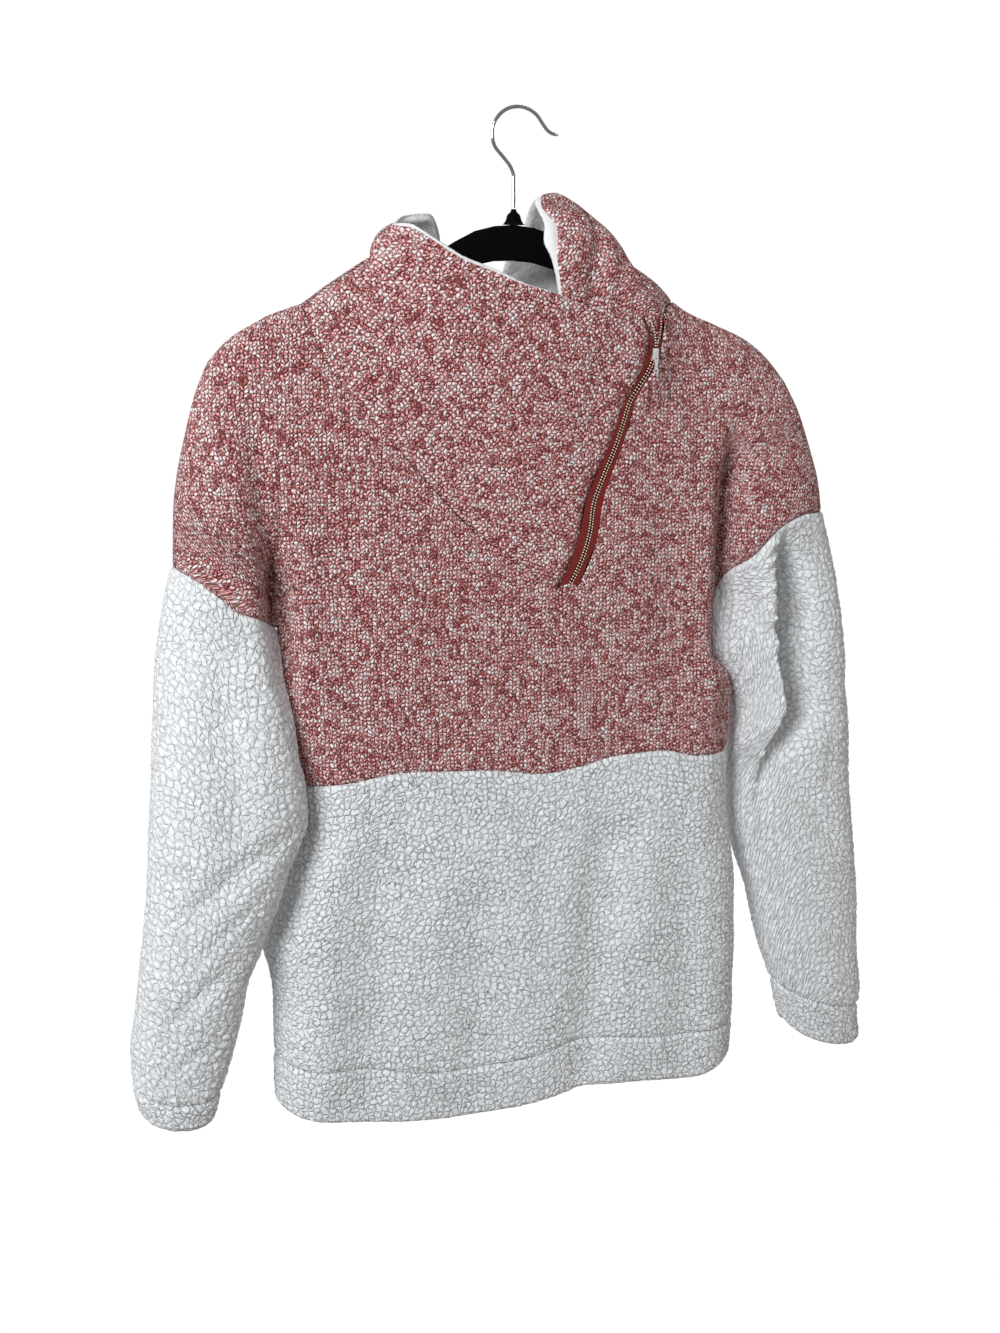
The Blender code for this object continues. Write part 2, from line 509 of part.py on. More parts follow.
def funnel_grid(slant):
    """Funnel front: rows go up from the slanted seam to the free edge."""
    shares = even(SLANT_COLUMNS)
    free = spaced(FREE_EDGE, shares)
    rows = even(FUNNEL_ROWS)
    heights = ZIP_FOOT + (-155.0 - ZIP_FOOT) * rows
    right = np.stack([zip_edge(heights, 1), heights], -1)
    right[0], right[-1] = slant[-1, [0, 2]], free[-1, :2]
    plan = coons(slant[:, [0, 2]], free[:, :2], left_neck(), right)
    rise = (rows ** 1.5)[:, None]
    base = depth(plan[..., 0], plan[..., 1], "front")
    forward = base * (1 - rise) + free[None, :, 2] * rise
    forward[:, 0] = 0
    grid = np.stack([plan[..., 0], -forward, plan[..., 1]], -1)
    grid[0] = slant
    return grid


def collar_grid():
    """Back of the collar: rows go up from the neck seam, columns follow the table's stations."""
    stations = np.array(COLLAR, float)
    heights = even(stations.shape[1] - 1)
    at = np.array(COLLAR_SHARES, float)
    grid = np.empty((len(at), len(stations), 3))
    for k, station in enumerate(stations):
        for axis in range(3):
            grid[:, k, axis] = hermite(at, heights, station[:, axis])
    left = left_neck()[SHOULDER_ROWS:]
    grid[:, -1] = np.stack([left[:, 0], 0 * at, left[:, 1]], -1)
    return grid


class Net:
    """Every outer cloth piece as one welded net of quads, so that neighbours share points and normals."""

    def __init__(self):
        self.points = []
        self.numbers = {}
        self.quads = {}

    def number(self, point):
        key = tuple(np.round(point, 2) + 0.0)
        if key not in self.numbers:
            self.numbers[key] = len(self.points)
            self.points.append(point)
        return self.numbers[key]

    def add(self, piece, grid, flip=False, closed=False):
        ids = np.array([[self.number(point) for point in row] for row in grid])
        kept = ids
        if closed:
            ids = np.concatenate([ids, ids[:, :1]], axis=1)
        for i in range(ids.shape[0] - 1):
            for j in range(ids.shape[1] - 1):
                quad = [ids[i, j], ids[i + 1, j], ids[i + 1, j + 1], ids[i, j + 1]]
                self.quads.setdefault(piece, []).append(quad[::-1] if flip else quad)
        return kept

    def normals(self):
        """Mean normal at each point; points on the middle plane lean neither forward nor back."""
        points = np.array(self.points)
        total = np.zeros_like(points)
        for quads in self.quads.values():
            quads = np.array(quads)
            a, b, c, d = (points[quads[:, k]] for k in range(4))
            face = np.cross(c - a, d - b)
            for k in range(4):
                np.add.at(total, quads[:, k], face)
        on_plane = np.abs(points[:, 1]) < 1e-6
        total[on_plane, 1] = 0
        return total / np.linalg.norm(total, axis=1, keepdims=True)


def walled(points, normals, quads, wall, sink=0.0):
    """Closed wall on a net of quads: points, then faces. Its edges are drawn back by half a seam gap."""
    quads = np.array(quads)
    used, local = np.unique(quads, return_inverse=True)
    quads = local.reshape(quads.shape)
    p, n = points[used], normals[used]
    a, b, c, d = (p[quads[:, k]] for k in range(4))
    face = np.cross(c - a, d - b)
    face /= np.linalg.norm(face, axis=1, keepdims=True)
    edges = {}
    for f, quad in enumerate(quads):
        for k in range(4):
            edges[(quad[k], quad[(k + 1) % 4])] = f
    border = [edge for edge in edges if (edge[1], edge[0]) not in edges]
    inward = np.zeros_like(p)
    weight = np.zeros(len(p))
    for start, end in border:
        along = p[end] - p[start]
        along /= np.linalg.norm(along)
        side = np.cross(face[edges[(start, end)]], along)
        for k in (start, end):
            inward[k] += side
            weight[k] += 1
    size = np.linalg.norm(inward, axis=1, keepdims=True)
    unit = inward / np.maximum(size, 1e-9)
    mitre = np.where(weight[:, None] > 0, weight[:, None] / np.maximum(size, 0.35), 0)
    p = p + unit * np.minimum(mitre, 2.5) * SEAM_GAP / 2
    outer = p - n * sink
    inner = outer - n * wall
    count = len(p)
    faces = [(a, b, c) for a, b, c, d in quads] + [(a, c, d) for a, b, c, d in quads]
    faces += [tuple(count + k for k in face[::-1]) for face in faces]
    for start, end in border:
        faces += rim(start, end, count)
    return np.concatenate([outer, inner]), faces


def rim(start, end, count):
    """Two faces across a wall's edge. Sewn pieces split them alike, so that their edges stay parallel."""
    if start < end:
        return [(end, start, count + end), (start, count + start, count + end)]
    return [(end, start, count + start), (end, count + start, count + end)]


def material(name, colour, roughness, metallic=0.0):
    """Plain finish for one sub-part."""
    made = bpy.data.materials.new(name)
    made.use_nodes = True
    shader = made.node_tree.nodes["Principled BSDF"]
    shader.inputs["Base Color"].default_value = (*colour, 1)
    shader.inputs["Roughness"].default_value = roughness
    shader.inputs["Metallic"].default_value = metallic
    return made


def placed(name, points, faces, finish, smooth=True):
    """Object from points in millimetres, with the row's origin at the hook."""
    mesh = bpy.data.meshes.new(name)
    moved = (np.asarray(points, float) - [HOOK_X, 0, 0]) * MM
    mesh.from_pydata([tuple(p) for p in moved], [], [tuple(int(k) for k in face) for face in faces])
    if smooth:
        mesh.shade_smooth()
        mesh.set_sharp_from_angle(angle=math.radians(40))
    mesh.materials.append(finish)
    made = bpy.data.objects.new(name, mesh)
    bpy.context.scene.collection.objects.link(made)
    made.parent = bpy.data.objects[ROOT]
    return made


def outer_cloth():
    """The net of the body, sleeves, funnel front and collar."""
    net = Net()
    top = front_top()
    front = middle_grid(top)
    underarm = len(UPPER_ROWS) - 1
    front_body = lifted_body(front, "front", underarm)
    last = SHOULDER_COLUMNS + SLANT_COLUMNS
    net.add("upper_front", front_body)
    lower = np.concatenate([front[-1:], lower_grid(front[-1])])
    skirt = lifted_body(lower, "front", 0)
    net.add("lower_front", skirt[:LOWER_ROWS + 1])
    net.add("hem_band_front", skirt[LOWER_ROWS:])

    foot = np.array([station[0] for station in COLLAR[1:]][::-1], float)
    shoulder = np.array(BACK_SHOULDER, float)
    right = spaced(RIGHT_INNER_SHOULDER, even(RIGHT_COLUMNS))
    back = middle_grid(np.concatenate([shoulder[:-1], foot[:, [0, 2]], right[1:]]))
    back_body = lifted_body(back, "back", underarm)
    back_body[0, :len(shoulder), 1] = 0
    neck = slice(len(shoulder) - 1, len(shoulder) - 1 + len(foot))
    extra = foot[:, 1] - back_body[0, neck, 1]
    fade = np.clip(1 - row_shares("left") / 0.35, 0, 1) ** 2
    back_body[:, neck, 1] += fade[:, None] * extra
    net.add("upper_back", back_body, flip=True)
    lower = np.concatenate([back[-1:], lower_grid(back[-1])])
    skirt = lifted_body(lower, "back", 0)
    net.add("lower_back", skirt[:LOWER_ROWS + 1], flip=True)
    net.add("hem_band_back", skirt[LOWER_ROWS:], flip=True)

    for hand, column in (("left", 0), ("right", -1)):
        mirrored = hand == "right"
        upper = slice(0, underarm + 1)
        front_arm = lifted_arm(arm_patch(hand, front[upper, column]), front_body[upper, column], "front")
        back_arm = lifted_arm(arm_patch(hand, back[upper, column]), back_body[upper, column], "back")
        net.add("upper_front", front_arm, flip=mirrored)
        net.add("upper_back", back_arm, flip=not mirrored)
        tube = sleeve_grid(hand, front_arm[-1], back_arm[-1])
        net.add("sleeve_" + hand, tube[:SLEEVE_ROWS + 1], flip=mirrored, closed=True)
        net.add("cuff_" + hand, tube[SLEEVE_ROWS:], flip=mirrored, closed=True)

    slant = front_body[0, SHOULDER_COLUMNS:last + 1]
    funnel = net.add("funnel_front", funnel_grid(slant), flip=True)
    collar = net.add("collar_back", collar_grid(), flip=True)
    return net, funnel, collar, front_body[0, last + 1:last + 2 + ZIP_COLUMNS]


def lining(name, ids, points, normals, finish):
    """Fleece inside a stretch of knit: its top row rises a lip above the knit's free edge."""
    p, n = points[ids], normals[ids]
    rise = p[-1] - p[-2]
    rise = rise / np.linalg.norm(rise, axis=1, keepdims=True)
    p = np.concatenate([p, (p[-1] + LINING_LIP * rise)[None]])
    n = np.concatenate([n, n[-1:]])
    count, wide = p.shape[:2]
    number = np.arange(count * wide).reshape(count, wide)
    quads = np.stack([number[:-1, 1:], number[1:, 1:], number[1:, :-1], number[:-1, :-1]], -1).reshape(-1, 4)
    made = walled(p.reshape(-1, 3), n.reshape(-1, 3), quads, LINING_WALL, WALL + SEAM_GAP)
    placed(name, *made, finish)


def build_cloth():
    """Solids of the outer cloth and of the fleece that lines the collar; returns the zip's two cloth edges."""
    knit = material("marled_knit", (0.62, 0.29, 0.27), 0.95)
    sherpa = material("sherpa_fleece", (0.82, 0.81, 0.77), 0.98)
    fleece = material("collar_fleece", (0.84, 0.83, 0.79), 0.98)
    net, funnel, collar, right_edge = outer_cloth()
    points, normals = np.array(net.points), net.normals()
    for piece, quads in net.quads.items():
        finish = sherpa if piece.split("_")[0] in ("lower", "hem", "sleeve", "cuff") else knit
        placed(piece, *walled(points, normals, quads, WALL), finish)
    lining("funnel_lining", funnel[SHOULDER_ROWS:], points, normals, fleece)
    lining("collar_lining", collar[1:], points, normals, fleece)
    return points[funnel[:, -1]], right_edge


def swept(sections):
    """Closed skin over a row of rings; each ring turns the same way about the line that joins them."""
    sections = np.array(sections, float)
    count, sides = sections.shape[:2]
    number = np.arange(count * sides).reshape(count, sides)
    after = np.roll(number, -1, axis=1)
    faces = np.stack([number[:-1], after[:-1], after[1:], number[1:]], -1).reshape(-1, 4)
    faces = [tuple(face) for face in faces] + [tuple(number[0][::-1]), tuple(number[-1])]
    return sections.reshape(-1, 3), faces


def strip(name, heights, left, right, face, thick, finish):
    """Flat strip up the zip between two edges; its outer face follows the depth given at each height."""
    rows = []
    for z, x0, x1, y0, y1 in zip(heights, left, right, face[0], face[1]):
        rows.append([(x0, y0, z), (x1, y1, z), (x1, y1 + thick, z), (x0, y0 + thick, z)])
    placed(name, *swept(rows), finish, smooth=False)


def build_zip(left_cloth, right_cloth):
    """Both tapes, the chain's coil below the slider and the half coils above it."""
    tape = material("zip_tape", (0.36, 0.08, 0.06), 0.85)
    coil = material("zip_coil", (0.72, 0.66, 0.52), 0.4)
    lift = COIL_THICK - TAPE_WALL

    def edge(cloth, z, axis):
        return np.interp(z, cloth[:, 2], cloth[:, axis])

    def surface(z, x):
        left, right = edge(left_cloth, z, 0), edge(right_cloth, z, 0)
        share = (x - left) / (right - left)
        return edge(left_cloth, z, 1) * (1 - share) + edge(right_cloth, z, 1) * share + TAPE_SINK

    foot = ZIP_FOOT + 4
    for hand, cloth, top in (("left", left_cloth, -156.0), ("right", right_cloth, -154.0)):
        side = -1 if hand == "left" else 1
        turns = cloth[(cloth[:, 2] > foot + 1) & (cloth[:, 2] < top - 1), 2]
        steps = np.concatenate([zip_heights(foot, SLIDER["z"] - 5, ZIP_ROWS),
                                zip_heights(SLIDER["z"] + 6, top, OPEN_ROWS)])
        steps = steps[np.min(np.abs(steps[:, None] - turns), axis=1) > 1]
        z = np.sort(np.concatenate([steps, turns]))
        clear = 1.5 * SEAM_GAP + TURN_CLEAR * eased((z - SLIDER["z"]) / 12)
        outer = edge(cloth, z, 0) - side * clear
        inner = zip_edge(z, 2) + side * TAPE_SPACE / 2
        opened = edge(cloth, z, 0) - side * OPEN_TAPE
        inner = np.where(z > SLIDER["z"], side * np.maximum(side * inner, side * opened), inner)
        x0, x1 = (outer, inner) if hand == "left" else (inner, outer)
        strip("zip_tape_" + hand, z, x0, x1, (surface(z, x0), surface(z, x1)), TAPE_WALL, tape)

        above = z > SLIDER["z"] + 5.5
        z = z[above]
        inner = inner[above] - side * SEAM_GAP
        x0, x1 = (inner, inner + COIL_WIDTH / 2) if hand == "left" else (inner - COIL_WIDTH / 2, inner)
        strip("zip_half_coil_" + hand, z, x0, x1, (surface(z, x0) - lift, surface(z, x1) - lift),
              COIL_THICK, coil)

    z = zip_heights(foot, SLIDER["z"] - 0.5, ZIP_ROWS)
    middle = zip_edge(z, 2)
    x0, x1 = middle - COIL_WIDTH / 2, middle + COIL_WIDTH / 2
    strip("zip_coil", z, x0, x1, (surface(z, x0) - lift, surface(z, x1) - lift), COIL_THICK, coil)


def block(name, low, high, finish, bevel=0.0):
    """Box between two corners, with its edges bevelled."""
    (x0, y0, z0), (x1, y1, z1) = low, high
    rings = [[(x0, y0, z), (x1, y0, z), (x1, y1, z), (x0, y1, z)] for z in (z0, z1)]
    made = placed(name, *swept(rings), finish, smooth=False)
    if bevel:
        soft = made.modifiers.new("edges", "BEVEL")
        soft.width = bevel * MM
        soft.segments = 2
    return made


def joined(base, tool, operation="UNION"):
    """Cuts a tool from a body or joins it on, and hides the tool."""
    work = base.modifiers.new(operation.lower(), "BOOLEAN")
    work.operation = operation
    work.object = tool
    tool.hide_render = True
    tool.display_type = "WIRE"


def build_slider():
    """Slider: two plates joined by a post between the tapes, with a bridge that carries the pull."""
    silver = material("slider_silver", (0.83, 0.83, 0.84), 0.18, 1.0)
    x, z, face = SLIDER["x"], SLIDER["z"], SLIDER["face"]
    half, tall, plate, back = SLIDER["width"] / 2, SLIDER["length"] / 2, SLIDER["plate"], SLIDER["back"]
    body = block("zip_slider", (x - half, face, z - tall), (x + half, face + plate, z + tall), silver, 0.4)
    rear = block("slider_rear", (x - half, back, z - tall), (x + half, back + plate, z + tall), silver, 0.4)
    joined(body, rear)
    middle = x + POST["across"]
    post = block("slider_post", (middle - POST["width"] / 2, face + plate / 2, z + POST["low"]),
                 (middle + POST["width"] / 2, back + plate / 2, z + POST["high"]), silver)
    joined(body, post)
    reach = face - BRIDGE["clear"] - BRIDGE["bar"]
    wide = BRIDGE["width"] / 2
    for name, low in (("low", BRIDGE["low"]), ("high", BRIDGE["high"] - BRIDGE["post"])):
        leg = block("bridge_" + name, (x - wide, reach + BRIDGE["bar"] / 2, z + low),
                    (x + wide, face + plate / 2, z + low + BRIDGE["post"]), silver)
        joined(body, leg)
    bar = block("bridge_bar", (x - wide * 1.05, reach, z + BRIDGE["low"] - 0.05),
                (x + wide * 1.05, reach + BRIDGE["bar"], z + BRIDGE["high"] + 0.05), silver, 0.2)
    joined(body, bar)


def build_pull():
    """Pull: a long link whose upper eye goes round the slider's bridge, with a small ring at its end."""
    silver = material("pull_silver", (0.83, 0.83, 0.84), 0.2, 1.0)
    x = SLIDER["x"]
    hinge = SLIDER["z"] + PULL["hinge_up"]
    y = SLIDER["face"] - PULL["hinge_out"] - PULL["thick"] / 2
    back = y + PULL["thick"]
    rings = [[(x - w, y, hinge + up), (x + w, y, hinge + up),
              (x + w, back, hinge + up), (x - w, back, hinge + up)] for up, w in PULL_OUTLINE]
    body = placed("zip_pull", *swept(rings), silver, smooth=False)
    near, far = y - PULL["reach"], back + PULL["reach"]
    for name in ("slot", "hole"):
        half = PULL[name + "_half"]
        tool = block("pull_" + name, (x - half, near, hinge + PULL[name + "_end"]),
                     (x + half, far, hinge + PULL[name + "_top"]), silver)
        joined(body, tool, "DIFFERENCE")


def round_turn(count):
    """Angles of a full turn in equal steps."""
    return [2 * math.pi * k / count for k in range(count)]


def build_hanger():
    """Flat flocked hanger with rounded edges, its boss, and the chrome hook."""
    flock = material("black_flock", (0.01, 0.01, 0.012), 0.95)
    chrome = material("chrome_wire", (0.8, 0.81, 0.83), 0.08, 1.0)
    half = np.array(HANGER, float)
    across = np.concatenate([-even(HANGER_HALVES)[:0:-1], even(HANGER_HALVES)]) * half[-1, 0]
    cos, sin = math.cos(HANGER_TILT), math.sin(HANGER_TILT)
    soft = HANGER_EDGE
    sections = []
    for x in across:
        high, low = read(half, abs(x), 1), read(half, abs(x), 2)
        tip = turning((half[-1, 0] + HANGER_TIP[0] - abs(x)) / HANGER_TIP[1])
        tall = (high - low) / 2 * max(tip, TIP_TALL)
        thick = HANGER_THICK / 2 * max(tip, TIP_THICK)
        ring = [(-thick, tall - soft), (-thick + soft, tall), (thick - soft, tall), (thick, tall - soft),
                (thick, soft - tall), (thick - soft, -tall), (soft - thick, -tall), (-thick, soft - tall)]
        rise = (high + low) / 2 - TILT_HEIGHT
        sections.append([(x * cos + (rise + z) * sin, y, (rise + z) * cos - x * sin + TILT_HEIGHT)
                         for y, z in ring[::-1]])
    placed("hanger_body", *swept(sections), flock)

    top = BOSS_PROFILE[-1][0]
    rings = [[(r * math.cos(a), (top + (r - top) * BOSS_FLAT) * math.sin(a), z) for a in round_turn(BOSS_SIDES)]
             for r, z in BOSS_PROFILE]
    placed("hanger_boss", *swept(rings), flock)

    first, last, count = HOOK_TURN
    bend = [(HOOK_MIDDLE[0] + HOOK_RADIUS * math.cos(a), HOOK_MIDDLE[1] + HOOK_RADIUS * math.sin(a))
            for a in np.radians(np.linspace(first, last, count))]
    path = spaced(HOOK_STEM + bend + HOOK_FOOT, even(WIRE_STEPS))
    along = np.gradient(path, axis=0)
    along /= np.linalg.norm(along, axis=1, keepdims=True)
    sides = round_turn(WIRE_SIDES)
    reach = np.linalg.norm(path - path[-1], axis=1)
    rings = []
    for (x, z), (dx, dz), left in zip(path, along, reach):
        r = WIRE_RADIUS * max(0.45, float(turning((left + 0.3) / 1.6)))
        rings.append([(x + dz * r * math.cos(a), r * math.sin(a), z - dx * r * math.cos(a)) for a in sides])
    placed("hanger_hook", *swept(rings), chrome)


def main():
    for old in list(bpy.data.objects):
        bpy.data.objects.remove(old)
    root = bpy.data.objects.new(ROOT, None)
    bpy.context.scene.collection.objects.link(root)
    left_edge, right_edge = build_cloth()
    build_zip(left_edge, right_edge)
    build_slider()
    build_pull()
    build_hanger()


main()
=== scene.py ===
"""Funnel-neck pullover in marled knit and sherpa fleece on a flocked hanger, laid out as an add-on.

Lengths in the tables are millimetres from the top of the hanger's stem line; the frame's origin is
the inside top of the hanger's hook, and the garment faces -Y.
"""

import functools
import itertools
import math
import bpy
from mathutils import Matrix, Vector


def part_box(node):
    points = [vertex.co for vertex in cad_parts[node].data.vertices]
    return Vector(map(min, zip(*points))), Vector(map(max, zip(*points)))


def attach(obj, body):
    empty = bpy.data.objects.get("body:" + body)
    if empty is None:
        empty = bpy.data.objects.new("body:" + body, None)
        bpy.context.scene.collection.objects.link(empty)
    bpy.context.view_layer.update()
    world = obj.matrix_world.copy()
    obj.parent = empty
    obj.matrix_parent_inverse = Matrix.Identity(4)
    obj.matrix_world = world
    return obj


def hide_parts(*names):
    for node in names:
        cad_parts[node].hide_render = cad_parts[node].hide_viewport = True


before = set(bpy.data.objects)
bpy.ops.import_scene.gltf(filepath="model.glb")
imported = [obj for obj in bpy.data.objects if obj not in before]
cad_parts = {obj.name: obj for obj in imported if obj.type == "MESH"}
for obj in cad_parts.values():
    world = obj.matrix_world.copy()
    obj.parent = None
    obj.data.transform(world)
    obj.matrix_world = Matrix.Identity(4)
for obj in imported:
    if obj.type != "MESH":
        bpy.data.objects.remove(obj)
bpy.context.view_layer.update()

import types

import bpy
import mathutils
import numpy as np

bl_info = {
    "name": "Hanging Fleece Pullover",
    "version": (1, 0, 0),
    "blender": (4, 5, 0),
    "location": "View3D > Sidebar > Pullover",
    "description": "Builds a funnel-neck pullover of marled knit and sherpa fleece on its hanger",
    "category": "Add Mesh",
}

MM = 0.001
HOOK_X = 4.0            # the hook's top lies this far right of the stem
WALL = 3.0              # thickness of the knit and of the sherpa under its pile
LINING_WALL = 1.6
LINING_SINK = 3.3
# How far the collar's facing stands above its free edge, by station, and the funnel's by the share
# along it. Third column: how much it leans upwards.
COLLAR_LIP = [(0, 0.1, 0), (1, 0.5, 0), (2, 5, 0), (3, 12, 0), (4, 10.5, 0), (5, 8, 0), (6, 5, 0),
              (7, 2.5, 0), (14, 1.5, 0.2), (16, 1.5, 0.8), (17, 2, 1.2), (18, 3, 1.2),
              (19, 3, 1.2), (20, 2, 0.5)]
FUNNEL_LIP = [(0, 2.2, 0.3), (0.36, 2.0, 0), (0.48, 0.05, 0), (1, 0.05, 0)]
LIP_COVER = 0.2         # how far the facing's roll stands over the knit's edge
GARMENT = "garment"

# Outline of the shoulders and outer arms, from the top of the arm fold outwards and down.
LEFT_INNER_SHOULDER = [(-192, -156), (-180, -151.5), (-167, -147)]
LEFT_SHOULDER = [(-192, -156), (-220, -173), (-237, -191)]
LEFT_ARM = [(-237, -191), (-247, -214), (-256, -245), (-263, -274), (-266.5, -299), (-268.5, -342)]
RIGHT_INNER_SHOULDER = [(132, -141), (145, -149), (168, -158)]
RIGHT_SHOULDER = [(168, -158), (195, -169.5), (215, -184), (232.5, -203.5)]
RIGHT_ARM = [(232.5, -203.5), (245.5, -227), (257, -259), (265, -286), (269, -311)]

# Sleeve seams, from the outer arm to the underarm.
LEFT_ARMHOLE = [(-268.5, -342), (-254, -350), (-235, -364), (-222, -375), (-207, -380), (-191, -391)]
RIGHT_ARMHOLE = [(269, -311), (245, -312), (224, -320), (210, -331), (201, -341), (186, -355),
                 (180, -366), (175, -381), (171.5, -398), (171, -429)]

# Folds that run up from the underarms: height, then the fold's place across.
LEFT_FOLD = [(-391, -191), (-345, -190), (-290, -189), (-250, -190), (-156, -192)]
RIGHT_FOLD = [(-429, 171), (-400, 168), (-365, 168), (-300, 166), (-230, 164), (-158, 168)]

# Side seams of the body below the underarms: height, then the place across.
LEFT_SIDE = [(-391, -191), (-405, -191.5), (-425, -191), (-455, -188), (-511, -179), (-540, -176),
             (-560, -179), (-580, -186), (-603, -193), (-628, -203), (-648, -208.5), (-670, -204),
             (-695, -201), (-757, -202), (-800, -201)]
RIGHT_SIDE = [(-429, 171), (-436, 179), (-447, 188), (-462, 192), (-485, 191), (-511, 188),
              (-556, 188), (-602, 195), (-660, 198.5), (-755, 199), (-800, 197)]

# Seams across the body: place across, then height.
WAIST_SEAM = [(-172, -516), (-137, -512), (-100, -507), (-66, -508), (-26, -510), (18, -515.5), (51, -511),
              (78, -505), (118, -503), (153, -510), (192, -511)]
BAND_SEAM = [(-205, -740), (-178, -748), (-136, -751), (-85, -760), (-55, -762), (-16, -760), (19, -756),
             (46, -749), (68, -749), (128, -754), (173, -755), (199, -752)]
HEM = [(-205, -780), (-185, -790), (-137, -797), (-97, -802), (-60, -804), (-8, -802), (40, -795), (54, -792),
       (102, -793), (152, -796), (185, -790), (199, -781)]

# The slanted seam of the funnel front, from the left shoulder to the zip's foot.
SLANT_SEAM = [(-167, -147), (-162, -164), (-154, -185), (-141, -206), (-119, -233), (-98, -257), (-73, -285),
              (-37, -322), (-7, -344), (27, -367)]
# The zip: height, then its left cloth edge, its middle line and its right cloth edge.
ZIP = [(-367, 27, 35.5, 44), (-342, 39.5, 48, 56), (-319, 46.5, 54.5, 62), (-302, 49, 56.5, 64),
       (-278, 58.5, 65, 71.5), (-260, 68.5, 73, 79), (-247, 74.6, 78, 83.5), (-233, 79.3, 82.5, 88),
       (-222, 82.6, 85.5, 90), (-210, 88.4, 91.7, 96), (-198, 94.3, 99.2, 104.2), (-190, 98.5, 103.4, 108.4),
       (-183, 100.7, 106, 111.6), (-173, 101.6, 108.5, 115.5), (-164, 100.6, 110, 119),
       (-157, 97, 108.5, 120),
       (-148, 93, 106, 119)]
ZIP_FOOT = -367.0
SLIDER_Z = -183.0
ZIP_TOP = -148.0
FOOT_ARCH = 4.0         # how far the cloth reaches up over the tapes at the zip's foot

# Left edge of the funnel front, from its seam on the shoulder up to the collar's free edge.
LEFT_NECK = [(-167, -147), (-149, -134.5), (-131, -122.5), (-114.5, -112), (-114, -106), (-112, -101),
             (-108.5, -96), (-103.5, -91.5), (-97, -88)]
SHOULDER_ROWS = 3       # rows of the funnel front that are sewn to the back's shoulder
# Free edge of the funnel front: across, height and how far it stands forward.
FREE_EDGE = [(-97, -88, 0), (-88, -91, 17), (-78, -98.5, 27), (-66, -107.5, 34), (-50, -117, 39),
             (-29, -124.5, 42), (-10, -132, 43), (21, -139.5, 43), (45, -149, 42), (66, -152.5, 40),
             (84, -150.5, 36), (93, -155, 32)]

# Back of the collar. Each row is a station from the right front round to the left neck:
# the foot on the neck seam, three heights between, and the free edge.
COLLAR = [
    # foot               hump               lower              upper              free edge
    ((119, -20, -148), (107, -23.5, -143), (91, -23, -150.5), (62, -26, -157), (32, -28, -151)),
    ((132, 0, -141), (123, -3, -132.5), (97, -13, -120), (66, -18, -116), (29, -24, -113)),
    ((131, 9, -141.5), (118, 2, -128.5), (93.5, -7, -113), (67, -13, -103), (31, -18, -99)),
    ((126, 16, -142), (110, 8, -123.5), (90.5, -1, -105), (66, -8, -90), (32, -12, -87)),
    ((117, 22, -142), (101, 14, -119.5), (87, 6, -97), (62, -2, -78.5), (26, -6, -75)),
    ((106, 26, -142), (94.5, 20, -114), (81, 13, -88.5), (54, 4, -71), (23, 1, -68)),
    ((94, 29, -142), (86, 26, -111), (70, 19, -81.5), (38, 10, -59.5), (24, 5, -62)),
    ((78, 32, -143), (73, 31, -112), (62, 28, -86), (40, 22, -68), (22, 18, -67)),
    ((60, 35, -146), (56.5, 36, -122), (48.5, 36, -103), (34.5, 35.5, -91), (19, 32, -85)),
    ((41, 37, -149), (39, 40, -131), (33.5, 43.5, -116.5), (23.5, 45, -108.5), (10, 45, -105)),
    ((31, 38, -151), (29, 41, -135.5), (24.5, 44.5, -122), (17.5, 48, -116.5), (8, 50, -116)),
    ((19, 38, -152), (17.5, 41.5, -138), (14.5, 46.5, -127), (9.5, 51.5, -123.5), (4, 56, -127)),
    ((-2, 39, -153), (-2.5, 42.5, -139.5), (-4.5, 47, -130), (-7, 53, -128), (-9, 60, -137)),
    ((-25, 38, -151), (-26.5, 42.5, -137.5), (-28, 47.5, -129.5), (-29.5, 53, -128), (-31, 60, -138)),
    ((-48, 36, -146), (-48, 40.5, -131), (-48.5, 45.5, -121), (-49, 51, -119), (-49, 56, -125)),
    ((-59, 34, -142), (-58.5, 37.5, -124.5), (-57, 42, -112), (-54, 46, -108.5), (-50, 49, -111)),
    ((-70, 31, -137), (-68, 35, -117.5), (-64, 38, -103), (-58, 40.5, -98), (-51, 42, -98)),
    ((-88, 24, -127), (-85, 26.5, -108.5), (-80.5, 27.5, -94), (-73, 28, -84.5), (-62, 28, -79)),
    ((-103, 14, -118), (-101.5, 15.5, -104), (-99, 16.5, -94), (-93.5, 17, -87), (-84, 17, -82)),
    ((-114.5, 0, -112), (-113.5, 0, -104.5), (-110, 0, -97.5), (-104, 0, -92), (-97, 0, -88)),
]

# The underlap that the collar's right front carries down behind the open zip: one more station before them.
UNDERLAP = ((117, -16, -190), (106, -19, -188), (90, -20, -192), (61, -22, -194), (33, -25, -184))
# Creases of the collar: stations at both ends, place up the collar there, depth (+ is a trough), half width.
COLLAR_CREASES = [
    (0.8, 6.0, 0.80, 0.68, 4.5, 0.05),
    (1.0, 3.4, 0.63, 0.54, 2.2, 0.05),
    (2.6, 7.0, 0.38, 0.30, 2.2, 0.07),
    (1.4, 5.4, 0.91, 0.87, -2.0, 0.06),
    (4.0, 7.5, 0.52, 0.50, -1.6, 0.08),
    (13.0, 16.0, 0.45, 0.5, 1.2, 0.12),
]

